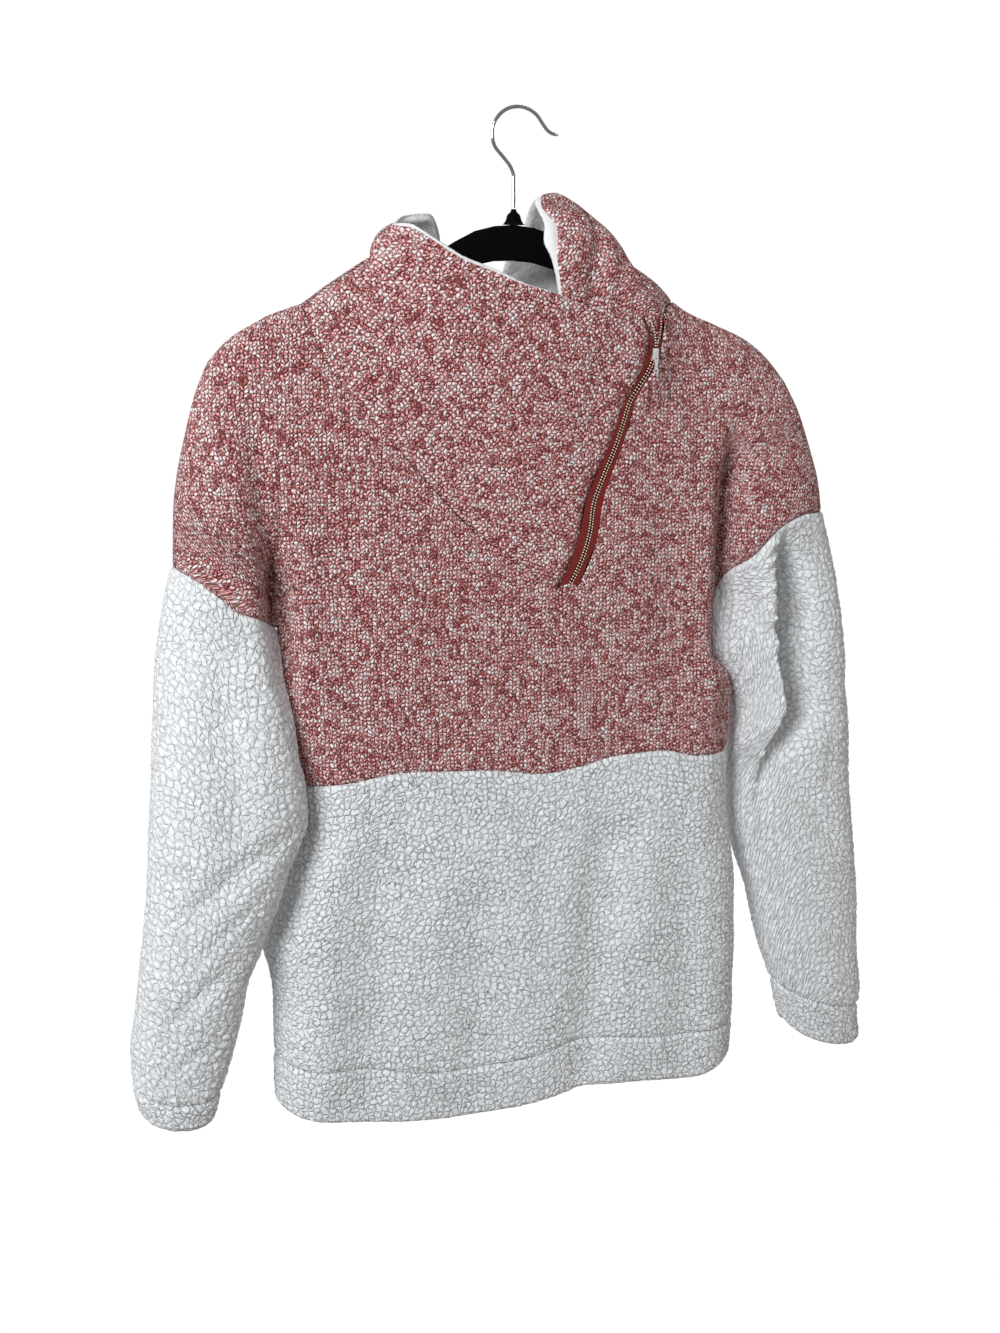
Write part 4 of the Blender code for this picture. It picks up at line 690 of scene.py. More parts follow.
def garment():
    """Every outer cloth surface as grids of points, rows downwards."""
    underarm = (len(UPPER_ROWS) - 1) * ROW_SPLIT
    upper = slice(0, underarm + 1)
    front = middle_grid(front_top())
    made = {"front": lifted_body(front, "front", underarm, SHOULDER_COLUMNS * COLUMN_SPLIT,
                                 RIGHT_COLUMNS * COLUMN_SPLIT)}
    made["skirt_front"] = lifted_body(lower_grid(front[-1]), "front", 0)

    foot = finer([station[0] for station in COLLAR[1:]][::-1], STATION_SPLIT)
    shoulder = finer(BACK_SHOULDER, STATION_SPLIT)
    right = spaced(RIGHT_INNER_SHOULDER, even(RIGHT_COLUMNS * STATION_SPLIT))
    back = middle_grid(np.concatenate([shoulder[:-1], foot[:, [0, 2]], right[1:]]))
    made["back"] = lifted_body(back, "back", underarm, len(shoulder) - 1, RIGHT_COLUMNS * STATION_SPLIT)
    neck = slice(len(shoulder) - 1, len(shoulder) - 1 + len(foot))
    extra = foot[:, 1] - made["back"][0, neck, 1]
    made["back"][:, neck, 1] += np.clip(1 - row_shares("left") / 0.35, 0, 1)[:, None] ** 2 * extra
    made["skirt_back"] = lifted_body(lower_grid(back[-1]), "back", 0)

    for hand, column in (("left", 0), ("right", -1)):
        for face, plan in (("front", front), ("back", back)):
            patch = arm_patch(hand, plan[upper, column])
            made[f"arm_{face}_{hand}"] = lifted_arm(patch, made[face][upper, column], face)
        made["sleeve_" + hand] = sleeve_grid(hand, made[f"arm_front_{hand}"][-1],
                                             made[f"arm_back_{hand}"][-1])

    first = SHOULDER_COLUMNS * COLUMN_SPLIT
    made["funnel"] = funnel_grid(made["front"][0, first:first + SLANT_COLUMNS * COLUMN_SPLIT + 1])
    made["collar"] = collar_grid()
    return made


def divided(grid, step):
    """Each row of a grid divided evenly along its length, into a multiple of four steps."""
    gap = np.linalg.norm(np.diff(grid, axis=1), axis=2)
    length = np.concatenate([np.zeros((len(grid), 1)), np.cumsum(gap, axis=1)], axis=1)
    at = even(4 * max(1, round(length[:, -1].mean() / step / 4)))
    return np.array([[np.interp(at, along / along[-1], row[:, k]) for k in range(3)]
                     for along, row in zip(length, grid)]).transpose(0, 2, 1)


def evened(grid, step, closed=False):
    """The same surface with its points about one step apart both ways."""
    if closed:
        grid = np.concatenate([grid, grid[:, :1]], axis=1)
    made = divided(divided(grid, step).transpose(1, 0, 2), step).transpose(1, 0, 2)
    return made[:, :-1] if closed else made


def normals_of(grid, closed=False):
    """Cross product of the steps down and across; at side seams on the middle plane it leans neither way."""
    wide = np.concatenate([grid[:, -1:], grid, grid[:, :1]], axis=1) if closed else grid
    across = np.gradient(wide, axis=1)
    across = across[:, 1:-1] if closed else across
    normal = np.cross(np.gradient(grid, axis=0), across)
    if not closed:
        normal[:, [0, -1], 1] *= np.abs(grid[:, [0, -1], 1]) > SEAM_PLANE
    return normal / np.maximum(np.linalg.norm(normal, axis=-1, keepdims=True), 1e-9)


def scattered(cells, seed):
    """Three even random shares for each whole-numbered cell, from products with large primes."""
    mixed = cells @ np.array([73856093, 19349663, 83492791]) + seed * 2654435761
    mixed = (mixed ^ (mixed >> 13)) * 1274126177
    mixed = mixed ^ (mixed >> 16)
    return np.stack([(mixed >> shift) & 1023 for shift in (3, 14, 25)], -1) / 1023


def pebbles(points, size, seed):
    """One point is scattered in each cube of the given size, and a crease lies where the nearest two
    are equally far. The share of the crown's colour, whose fall paints shade into the creases, and the
    height, both 0 in the creases and 1 on the crowns."""
    at = points / size
    cell = np.floor(at).astype(np.int64)
    first = np.full(len(points), 9.0)
    second = first.copy()
    for shift in itertools.product((-1, 0, 1), repeat=3):
        here = cell + shift
        gap = np.linalg.norm(here + scattered(here, seed) - at, axis=-1)
        second = np.minimum(second, np.maximum(first, gap))
        first = np.minimum(first, gap)
    sharp = 1 - np.exp(-(second - first) / CREASE_SHARE)
    return sharp, (1 - DOME_PART) * sharp + DOME_PART * (1 - np.exp(-(second - first) / DOME_SHARE))


def swell(points, seed):
    """Sum of four slow waves in different directions, between -1 and 1."""
    turns = np.random.default_rng(seed).normal(0, 1, (4, 3)) / SWELL_LENGTH
    phase = 2.1 * seed + np.arange(4) * 1.7
    return np.sin(points @ turns.T * 2 * math.pi + phase).mean(-1)


def distance_to_row(grid, row):
    """Length down the columns from the first or last row."""
    gap = np.linalg.norm(np.diff(grid, axis=0), axis=2)
    along = np.concatenate([np.zeros((1, grid.shape[1])), np.cumsum(gap, axis=0)])
    return along if row == 0 else along[-1] - along


def distance_to_column(grid, column):
    """Length along the rows from the first or last column."""
    return distance_to_row(grid.transpose(1, 0, 2), column).T


def stitched(fine, coarse, reverse=False):
    """Triangles between an edge and one with a quarter of its points, fanned over each four steps."""
    f = np.stack([fine[k:len(fine) - 4 + k:4] for k in range(4)] + [fine[4::4]])
    c = np.stack([coarse[:-1], coarse[1:]])
    made = np.concatenate([np.stack(t, -1) for t in (
        (f[0], f[1], c[0]), (f[1], f[2], c[0]), (f[2], c[1], c[0]), (f[2], f[3], c[1]), (f[3], f[4], c[1]))])
    return made[:, ::-1] if reverse else made


def quads_of(number, closed=False):
    """Quads of a grid of point numbers, turned so that they face the way normals_of gives."""
    if closed:
        number = np.concatenate([number, number[:, :1]], axis=1)
    return np.stack([number[:-1, :-1], number[1:, :-1], number[1:, 1:], number[:-1, 1:]], -1).reshape(-1, 4)


def shell(outer, inner, closed=False, flip=False):
    """Closed wall between a fine outer grid and an inner grid with a quarter of its rows and columns."""
    fine = np.arange(outer[..., 0].size).reshape(outer.shape[:2])
    coarse = fine.size + np.arange(inner[..., 0].size).reshape(inner.shape[:2])
    faces = [quads_of(fine, closed), quads_of(coarse, closed)[:, ::-1]]
    if closed:
        fine = np.concatenate([fine, fine[:, :1]], axis=1)
        coarse = np.concatenate([coarse, coarse[:, :1]], axis=1)
    rims = [stitched(fine[0], coarse[0]), stitched(fine[-1], coarse[-1], True)]
    if not closed:
        rims += [stitched(fine[:, 0], coarse[:, 0], True), stitched(fine[:, -1], coarse[:, -1])]
    faces.append(np.concatenate(rims))
    if flip:
        faces = [part[:, ::-1] for part in faces]
    return np.concatenate([outer.reshape(-1, 3), inner.reshape(-1, 3)]), faces


def mesh_piece(name, points, faces, finish, pile=None, grain=None):
    """Object from points in millimetres and arrays of faces, with its origin at the hook."""
    mesh = bpy.data.meshes.new(name)
    moved = (points - [HOOK_X, 0, 0]) * MM
    mesh.from_pydata(moved.tolist(), [], [face for part in faces for face in part.tolist()])
    mesh.polygons.foreach_set("use_smooth", np.ones(len(mesh.polygons), bool))
    if pile is not None:
        mesh.attributes.new("pile", "FLOAT", "POINT").data.foreach_set("value", pile.astype(np.float32))
    if grain is not None:
        corner = np.empty(len(mesh.loops), np.int32)
        mesh.loops.foreach_get("vertex_index", corner)
        layer = mesh.uv_layers.new(name="grain")
        layer.data.foreach_set("uv", (grain[corner] * MM).astype(np.float32).ravel())
    mesh.materials.append(finish)
    made = bpy.data.objects.new(name, mesh)
    bpy.context.scene.collection.objects.link(made)
    return made


def dress(piece, node, body=GARMENT):
    """Puts a piece in the place of its solid, on the same body, and hides the solid."""
    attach(piece, body)
    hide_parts(node)


def grain_of(base, closed):
    """Grain of a fleece piece: the length across it from its middle, or both ways round a sleeve from the
    outer arm to a line at the back of the inner arm, and the length down it."""
    along = distance_to_column(np.concatenate([base, base[:, :1]], axis=1) if closed else base, 0)
    width = along[:, -1:]
    if closed:
        along = along[:, :-1]
        along = np.where(along > SLEEVE_JOIN * width, along - width, along)
    else:
        along = along - width / 2
    return np.stack([along, distance_to_row(base, 0)], -1)


def fleece_piece(name, grid, finish, cloth, seams, closed=False, flip=False):
    """Sherpa on a grid: base surface, slow swell and pebbles along the normal, sunk at its seams and rounded
    at its open edges; seams gives the distance to each edge and how deep the pile sinks there."""
    base = evened(grid, cloth.step, closed)
    normal = normals_of(base, closed) * (-1 if flip else 1)
    flat = base.reshape(-1, 3)
    pile, dome = (part.reshape(base.shape[:2])
                  for part in pebbles(flat * cloth.stretch, cloth.size, cloth.seed))
    lift = SWELL_HEIGHT * swell(flat, cloth.seed).reshape(base.shape[:2])
    height = cloth.height * dome + lift
    for far, sink, width in seams(base):
        height = height - sink * np.exp(-(far / width) ** 2)
        # Painted shade: the crown's share, and so the colour, is also darkened near each seam where the pile
        # sinks.
        pile = pile * (1 - 0.3 * np.exp(-(far / width * 1.2) ** 2))
    outer = base + normal * height[..., None]
    thin = (slice(None, None, 4), slice(None, None, 4))
    inner = base[thin] - normal[thin] * WALL
    points, faces = shell(outer, inner, closed, flip)
    pile = np.concatenate([pile.ravel(), np.full(inner[..., 0].size, 0.6)])
    grain = grain_of(base, closed)
    grain = np.concatenate([grain.reshape(-1, 2), grain[thin].reshape(-1, 2)])
    return mesh_piece(name, points, faces, finish, pile=pile, grain=grain)


def joined(patches):
    """Grids welded along their shared edges: points, grain, quads and smooth normals. A patch is a grid of
    points, its grain, and whether it faces the other way."""
    points = np.concatenate([grid.reshape(-1, 3) for grid, grain, flip in patches])
    grains = np.concatenate([grain.reshape(-1, 2) for grid, grain, flip in patches])
    start, quads = 0, []
    for grid, grain, flip in patches:
        number = start + np.arange(grid[..., 0].size).reshape(grid.shape[:2])
        start += number.size
        quads.append(quads_of(number)[:, ::-1] if flip else quads_of(number))
    first, number = np.unique(np.round(points, 2), axis=0, return_index=True, return_inverse=True)[1:]
    points, grains, quads = points[first], grains[first], number.ravel()[np.concatenate(quads)]
    normal = np.zeros_like(points)
    a, b, c, d = (points[quads[:, k]] for k in range(4))
    for k in range(4):
        np.add.at(normal, quads[:, k], np.cross(c - a, d - b))
    normal[:, 1] *= np.abs(points[:, 1]) > SEAM_PLANE
    return points, grains, quads, normal / np.linalg.norm(normal, axis=1, keepdims=True)


def walled(points, normal, quads, wall, sink):
    """Closed wall on welded quads; its outer face sinks a little at its free edges, as a sewn edge does."""
    count = len(points)
    edges = np.concatenate([quads[:, [k, (k + 1) % 4]] for k in range(4)])
    key = edges.min(1) * count + edges.max(1)
    kind, times = np.unique(key, return_counts=True)
    border = edges[times[np.searchsorted(kind, key)] == 1]
    at_edge = np.zeros(count)
    at_edge[border] = 1
    outer = points - normal * (sink * at_edge)[:, None]
    start, end = border.T
    rim = np.stack([end, start, start + count, end + count], -1)
    faces = np.concatenate([quads, quads[:, ::-1] + count, rim])
    return np.concatenate([outer, points - normal * wall]), [faces]


def grain_across(grid, start=None):
    """Grain of a grid: the length across it, bends counted, from x = 0 or from given values at the last
    column, and the height."""
    across, forward = np.diff(grid[..., :2], axis=1).transpose(2, 0, 1)
    step = np.sign(across) * np.hypot(across, forward)
    along = np.concatenate([np.zeros((len(grid), 1)), np.cumsum(step, axis=1)], axis=1)
    if start is None:
        middle = np.argmin(np.abs(grid[..., 0]), axis=1)[:, None]
        along = along - np.take_along_axis(along, middle, 1) + np.take_along_axis(grid[..., 0], middle, 1)
    else:
        along = along - along[:, -1:] + start[:, None]
    return np.stack([along, grid[..., 2]], -1)


def knit_piece(name, patches, finish, settings):
    """Knit panel: welded grids with a wall."""
    points, grain, quads, normal = joined(patches)
    made, faces = walled(points, normal, quads, WALL, settings.seam_sink * 1000)
    return mesh_piece(name, made, faces, finish, grain=np.concatenate([grain, grain]))


def grain_round(grid):
    """Grain of the collar: the length round its middle row, and the length up each column."""
    middle = grid[len(grid) // 2]
    round_it = np.concatenate([[0], np.cumsum(np.linalg.norm(np.diff(middle, axis=0), axis=1))])
    return np.stack([np.broadcast_to(round_it, grid.shape[:2]), distance_to_row(grid, 0)], -1)


def grain_bias(grid):
    """Grain of the funnel front, which is cut on the bias: its wales run down to the right."""
    x, z = grid[..., 0], grid[..., 2]
    return np.stack([x * math.cos(BIAS) + z * math.sin(BIAS), z * math.cos(BIAS) - x * math.sin(BIAS)], -1)


def lining_piece(name, grid, finish, cloth, lips):
    """Fleece inside the collar: the knit's surface moved inwards, with a lip above the free edge."""
    rise = grid[-1] - grid[-2]
    rise = rise / np.linalg.norm(rise, axis=1, keepdims=True)
    place = even(grid.shape[1] - 1) * lips[-1][0]
    lip, lean = read(lips, place)[:, None], read(lips, place, 2)
    rise[:, 2] += lean
    rise = rise / np.linalg.norm(rise, axis=1, keepdims=True)
    steps = even(4)[1:, None, None]
    roll = (LINING_SINK + LIP_COVER) * np.clip(lip / 3, 0, 1) * turning(steps)
    out = -normals_of(grid)
    grid = grid - out * LINING_SINK
    base = evened(np.concatenate([grid, grid[-1] + lip * steps * rise + out[-1] * roll]), LINING_STEP)
    normal = -normals_of(base)
    flat = base.reshape(-1, 3)
    pile = pebbles(flat, LINING_PEBBLE, cloth.seed)[1].reshape(base.shape[:2])
    thin = (slice(None, None, 4), slice(None, None, 4))
    outer = base
    inner = base - normal * (LINING_WALL + LINING_HEIGHT * pile[..., None])
    points, faces = shell(inner, outer[thin])
    # The dome's height also greys the facing between tufts as painted shade, through its colour.
    pile = np.concatenate([pile.ravel(), np.full(outer[thin][..., 0].size, 0.6)])
    return mesh_piece(name, points, faces, finish, pile=pile)


def zip_edges(cloth):
    """Cloth edges on both sides of the zip, from its foot to its top."""
    first = (SHOULDER_COLUMNS + SLANT_COLUMNS + 1) * COLUMN_SPLIT
    return cloth["funnel"][:, -1], cloth["front"][0, first:first + ZIP_COLUMNS * COLUMN_SPLIT + 1]


def zip_face(cloth, x, z):
    """Depth of the tapes' face: straight from one cloth edge to the other."""
    left, right = (np.stack([np.interp(z, edge[:, 2], edge[:, k]) for k in (0, 1)])
                   for edge in zip_edges(cloth))
    share = (x - left[0]) / (right[0] - left[0])
    return left[1] * (1 - share) + right[1] * share + TAPE_SINK


def teeth(cloth, x_of, heights, side):
    """A row of small ellipsoids: a sphere of few faces, squashed, leant along the zip and set at each height;
    and each point's share of the way to its tooth's outer tip."""
    across, up = np.meshgrid(np.linspace(0, 2 * math.pi, TOOTH_SIDES, endpoint=False),
                             np.linspace(-1, 1, TOOTH_RINGS + 2)[1:-1] * math.pi / 2)
    sphere = np.stack([np.cos(across) * np.cos(up), np.sin(across) * np.cos(up), np.sin(up)], -1)
    sphere = np.concatenate([sphere.reshape(-1, 3), [[0, 0, -1], [0, 0, 1]]]) * TOOTH_SIZE
    number = np.arange(TOOTH_RINGS * TOOTH_SIDES).reshape(TOOTH_RINGS, TOOTH_SIDES)
    after = np.roll(number, -1, axis=1)
    quads = np.stack([number[:-1], after[:-1], after[1:], number[1:]], -1).reshape(-1, 4)
    low, high = len(sphere) - 2, len(sphere) - 1
    ends = np.concatenate([np.stack([after[0], number[0], np.full(TOOTH_SIDES, low)], -1),
                           np.stack([number[-1], after[-1], np.full(TOOTH_SIDES, high)], -1)])
    x = x_of(heights)
    slope = np.gradient(read(ZIP, heights, 2), heights)
    lean = np.arctan(slope)[:, None]
    leant = np.stack([sphere[:, 0] * np.cos(lean) + sphere[:, 2] * np.sin(lean),
                      np.broadcast_to(sphere[:, 1], (len(heights), len(sphere))),
                      sphere[:, 2] * np.cos(lean) - sphere[:, 0] * np.sin(lean)], -1)
    place = np.stack([x, zip_face(cloth, x, heights) + TOOTH_DEPTH, heights], -1)
    points = (leant + place[:, None]).reshape(-1, 3)
    shift = (np.arange(len(heights)) * len(sphere))[:, None, None]
    tips = np.tile(0.5 + 0.5 * side * sphere[:, 0] / TOOTH_SIZE[0], len(heights))
    return points, [(quads + shift).reshape(-1, 4), (ends + shift).reshape(-1, 3)], tips


def gathered(rows):
    """Several rows of teeth as one set of points, faces and shares."""
    faces, start = [], 0
    for some, parts, _ in rows:
        faces += [part + start for part in parts]
        start += len(some)
    return np.concatenate([row[0] for row in rows]), faces, np.concatenate([row[2] for row in rows])


# ---------------------------------------------------------------- finishes

def wired(tree, kind, inputs=None, **settings):
    """Adds a shader node; each input is given a value or the socket that feeds it."""
    made = tree.nodes.new("ShaderNode" + kind)
    for name, value in settings.items():
        setattr(made, name, value)
    for name, value in (inputs or {}).items():
        if isinstance(value, bpy.types.NodeSocket):
            tree.links.new(value, made.inputs[name])
        else:
            made.inputs[name].default_value = value
    return made


def maths(tree, operation, *values):
    """Result of a Math node on values and sockets."""
    return wired(tree, "Math", dict(enumerate(values)), operation=operation).outputs[0]


def plus(tree, first, second):
    return maths(tree, "ADD", first, second)


def minus(tree, first, second):
    return maths(tree, "SUBTRACT", first, second)


def times(tree, first, second):
    return maths(tree, "MULTIPLY", first, second)


def noise(tree, place, scale, detail=2.0, **inputs):
    """Share of a noise at a place."""
    given = {"Vector": place, "Scale": scale, "Detail": detail, **inputs}
    return wired(tree, "TexNoise", given).outputs["Fac"]


def flank_of(tree, edge, steepness):
    """1 on a cell's edge, falling to 0 inside it."""
    return minus(tree, 1.0, maths(tree, "MINIMUM", times(tree, edge, steepness), 1.0))


def domed(tree, flank):
    """1 inside a cell, rounded down to 0 on its edge."""
    return minus(tree, 1.0, times(tree, flank, flank))


def mixed(tree, share, first, second):
    """Colour between two colours."""
    made = wired(tree, "Mix", data_type="RGBA")
    for socket, value in ((made.inputs[0], share), (made.inputs[6], first), (made.inputs[7], second)):
        if isinstance(value, bpy.types.NodeSocket):
            tree.links.new(value, socket)
        else:
            socket.default_value = value
    return made.outputs[2]


def group(name, inputs, outputs):
    """Empty shader node group: its tree, its inputs' sockets by name and its output node."""
    tree = bpy.data.node_groups.new(name, "ShaderNodeTree")
    for label, kind, value in inputs:
        socket = tree.interface.new_socket(label, in_out="INPUT", socket_type="NodeSocket" + kind)
        if value is not None:
            socket.default_value = value
    for label, kind in outputs:
        tree.interface.new_socket(label, in_out="OUTPUT", socket_type="NodeSocket" + kind)
    entry = tree.nodes.new("NodeGroupInput")
    return tree, {label: entry.outputs[label] for label, _, _ in inputs}, tree.nodes.new("NodeGroupOutput")


def stitches_group():
    """Stocking stitch of a loopy yarn: columns of V-shaped loops, two legs wide. Each leg is the rounded cell
    about one of a net of points that leans up and down in turn and is a little loose, and it has a shade of
    its own."""
    tree, given, out = group("stitches", [("Grain", "Vector", None), ("Wale", "Float", 0.003),
                                          ("Course", "Float", 0.0025), ("Lean", "Float", 0.8),
                                          ("Loose", "Float", 0.6)],
                             [("Height", "Float"), ("Shade", "Float"), ("Gap", "Float")])
    grain = given["Grain"]
    stir = times(tree, minus(tree, noise(tree, grain, WOBBLE_SCALE, 1.0), 0.5), WOBBLE_REACH)
    part = wired(tree, "SeparateXYZ", {0: grain})
    u = plus(tree, maths(tree, "DIVIDE", part.outputs[0], given["Wale"]),
             times(tree, stir, WOBBLE_ACROSS))
    v = plus(tree, maths(tree, "DIVIDE", part.outputs[1], given["Course"]), stir)
    off = times(tree, maths(tree, "ABSOLUTE", minus(tree, maths(tree, "FRACT", u), 0.5)), 2.0)
    along = minus(tree, v, times(tree, off, given["Lean"]))
    place = wired(tree, "CombineXYZ", {0: times(tree, u, 2.0), 1: along}).outputs[0]
    voronoi = {"Vector": place, "Scale": 1.0, "Randomness": given["Loose"]}
    edge, cell = (wired(tree, "TexVoronoi", voronoi, voronoi_dimensions="2D", feature=feature).outputs[output]
                  for feature, output in (("DISTANCE_TO_EDGE", "Distance"), ("F1", "Color")))
    height = domed(tree, flank_of(tree, edge, LOOP_STEEPNESS))
    own = wired(tree, "SeparateColor", {0: cell}).outputs[0]
    strand, patch = noise(tree, grain, STRAND_SCALE), noise(tree, grain, PATCH_SCALE)
    streaks = minus(tree, times(tree, strand, STRAND_REACH), STRAND_SINK)
    shade = plus(tree, times(tree, own, OWN_REACH), streaks)
    shade = plus(tree, shade, times(tree, minus(tree, patch, 0.5), PATCH_REACH))
    # Painted shade: the gaps between loops are darkened, more where the strand noise is low.
    gap = times(tree, minus(tree, 1.0, height), minus(tree, GAP_SHADE, times(tree, strand, GAP_STRAND)))
    for label, value in (("Height", height), ("Shade", shade), ("Gap", gap)):
        tree.links.new(value, out.inputs[label])
    return tree


def nap_group():
    """Brushed fibres: fine noise stretched every way, over slower tufts."""
    tree, given, out = group("nap", [("Scale", "Float", 1400.0), ("Tufts", "Float", 320.0)],
                             [("Height", "Float"), ("Shade", "Float")])
    place = wired(tree, "TexCoord").outputs["Object"]
    fine = noise(tree, place, given["Scale"], Roughness=0.7)
    slow = noise(tree, place, given["Tufts"], Distortion=0.6)
    tree.links.new(plus(tree, times(tree, fine, NAP_FINE), times(tree, slow, NAP_SLOW)), out.inputs["Height"])
    tree.links.new(slow, out.inputs["Shade"])
    return tree


def finish(name, roughness, sheen=0.0, metallic=0.0):
    """Material with its Principled shader's plain values set: the material, its tree and the shader."""
    made = bpy.data.materials.new(name)
    made.use_nodes = True
    tree = made.node_tree
    shader = tree.nodes["Principled BSDF"]
    shader.inputs["Roughness"].default_value = roughness
    shader.inputs["Metallic"].default_value = metallic
    shader.inputs["Sheen Weight"].default_value = sheen
    shader.inputs["Sheen Roughness"].default_value = 0.6
    return made, tree, shader


def bumped(tree, shader, height, distance_m, strength=1.0):
    """Feeds a height to the shader's normal."""
    bump = wired(tree, "Bump", {"Height": height, "Distance": distance_m, "Strength": strength})
    tree.links.new(bump.outputs[0], shader.inputs["Normal"])


def ramp(tree, value, stops):
    """Colour ramp with the given places and colours."""
    made = wired(tree, "ValToRGB", {0: value})
    elements = made.color_ramp.elements
    while len(elements) < len(stops):
        elements.new(0.5)
    for element, (place, colour) in zip(elements, stops):
        element.position = place
        element.color = (*colour, 1)
    return made.outputs[0]


def found_group(name, make):
    """A shader node group that is built once."""
    return bpy.data.node_groups.get(name) or make()


def knit_finish(name, wale, course, settings):
    """Marled knit: each leg of each stitch is brick red, pink or off-white, with painted dark shade in the
    gaps between.
    """
    made, tree, shader = finish(name, 0.92, sheen=0.1)
    grain = wired(tree, "UVMap", uv_map="grain").outputs[0]
    knit = wired(tree, "Group", node_tree=found_group("stitches", stitches_group))
    tree.links.new(grain, knit.inputs["Grain"])
    for label, value in (("Wale", wale), ("Course", course), ("Lean", settings.lean),
                         ("Loose", settings.loose)):
        knit.inputs[label].default_value = value
    stops = ((0.22, settings.deep), (0.38, settings.brick), (0.54, settings.pink), (0.72, settings.pale),
             (0.92, settings.white))
    colour = ramp(tree, knit.outputs["Shade"], stops)
    # Painted shade: the base colour is mixed towards the dark gap colour in the gaps between stitches.
    gap = times(tree, minus(tree, knit.outputs["Gap"], GAP_START), GAP_GAIN * settings.gap_shade)
    tree.links.new(mixed(tree, gap, colour, (*settings.gap, 1)), shader.inputs["Base Color"])
    bumped(tree, shader, knit.outputs["Height"], settings.relief)
    return made


def curls_group():
    """Curls of sherpa pile: each is the cell about one of a net of scattered points, on a slightly wandering
    grain, and thin creases that fade in and out part them; the creases carry painted grey shade."""
    tree, given, out = group("curls", [("Grain", "Vector", None), ("Curl", "Float", 0.006)],
                             [("Height", "Float"), ("Crease", "Float")])
    grain = given["Grain"]
    wander = wired(tree, "TexNoise", {"Vector": grain, "Scale": WANDER_SCALE, "Detail": 2.0}).outputs["Color"]
    shift = wired(tree, "VectorMath", {0: wander, 1: (0.5, 0.5, 0.5)}, operation="SUBTRACT").outputs[0]
    drift = wired(tree, "VectorMath", {0: shift, "Scale": WANDER_REACH}, operation="SCALE").outputs[0]
    place = wired(tree, "VectorMath", {0: grain, 1: drift}, operation="ADD").outputs[0]
    scale = maths(tree, "DIVIDE", 1.0, given["Curl"])
    edge = wired(tree, "TexVoronoi", {"Vector": place, "Scale": scale, "Randomness": CURL_SCATTER},
                 voronoi_dimensions="2D", feature="DISTANCE_TO_EDGE").outputs["Distance"]
    near, wide = noise(tree, grain, NEAR_SCALE, 1.0), noise(tree, grain, WIDE_SCALE)
    seen = plus(tree, times(tree, minus(tree, near, NEAR_START), NEAR_REACH),
                times(tree, minus(tree, wide, 0.5), WIDE_REACH))
    seen = wired(tree, "Clamp", {0: seen, 1: LEAST_CREASE, 2: 1.0}).outputs[0]
    tree.links.new(domed(tree, flank_of(tree, edge, CURL_STEEPNESS)), out.inputs["Height"])
    # The Crease output is painted grey shade along the curls' edges.
    tree.links.new(times(tree, flank_of(tree, edge, LINE_STEEPNESS), seen), out.inputs["Crease"])
    return tree


def pile_shade(tree, nap, share):
    """The pebbles' share of the crown's colour, low in their creases as painted shade, stirred by the nap."""
    pile = wired(tree, "Attribute", attribute_name="pile", attribute_type="GEOMETRY").outputs["Fac"]
    return plus(tree, pile, times(tree, minus(tree, nap.outputs["Shade"], 0.5), share))


def sherpa_cloth(name, curl, crease, settings):
    """Sherpa: pale curls, painted grey shade in the creases between them, painted greyer shade in the hollows
    between pebbles, and a nap.
    """
    made, tree, shader = finish(name, 0.96, sheen=0.25)
    nap = wired(tree, "Group", node_tree=found_group("nap", nap_group))
    curls = wired(tree, "Group", node_tree=found_group("curls", curls_group))
    tree.links.new(wired(tree, "UVMap", uv_map="grain").outputs[0], curls.inputs["Grain"])
    curls.inputs["Curl"].default_value = curl
    # Painted shade: the pebbles' hollows are greyer than their crowns.
    stops = ((0.1, tuple(settings.hollow_shade)), (0.75, tuple(settings.crown)))
    ground = ramp(tree, pile_shade(tree, nap, 0.5), stops)
    # Painted shade: the base colour is mixed towards the crease colour along the curls' edges.
    tree.links.new(mixed(tree, curls.outputs["Crease"], ground, (*crease, 1)), shader.inputs["Base Color"])
    fibres = times(tree, nap.outputs["Height"], settings.nap / settings.curl_relief)
    bumped(tree, shader, plus(tree, curls.outputs["Height"], fibres), settings.curl_relief)
    return made


def fleece_finish(name, crease, crown, nap_height):
    """Smooth fleece: pale crowns, painted greyer shade in the creases, and a brushed nap."""
    made, tree, shader = finish(name, 0.96, sheen=0.25)
    nap = wired(tree, "Group", node_tree=found_group("nap", nap_group))
    # Painted shade: the colour is greyer where the tufts are low.
    colour = ramp(tree, pile_shade(tree, nap, 0.35), ((0.1, crease), (0.72, crown)))
    tree.links.new(colour, shader.inputs["Base Color"])
    bumped(tree, shader, nap.outputs["Height"], nap_height)
    return made


def tape_finish(settings):
    """Zip tape: fine herringbone threads across and along, painted darker between the threads as shade."""
    made, tree, shader = finish("woven_tape", 0.9)
    place = wired(tree, "TexCoord").outputs["Object"]
    part = wired(tree, "SeparateXYZ", {0: place})
    threads = [maths(tree, "SINE", times(tree, way(tree, part.outputs[2], part.outputs[0]), THREADS))
               for way in (plus, minus)]
    height = maths(tree, "MAXIMUM", *threads)
    # Painted shade: the tape's colour is darker where its threads are low.
    share = plus(tree, times(tree, height, 0.25), 0.6)
    stops = ((0.3, tuple(0.45 * c for c in settings.tape)), (0.85, tuple(settings.tape)))
    tree.links.new(ramp(tree, share, stops), shader.inputs["Base Color"])
    bumped(tree, shader, height, 0.0002)
    return made


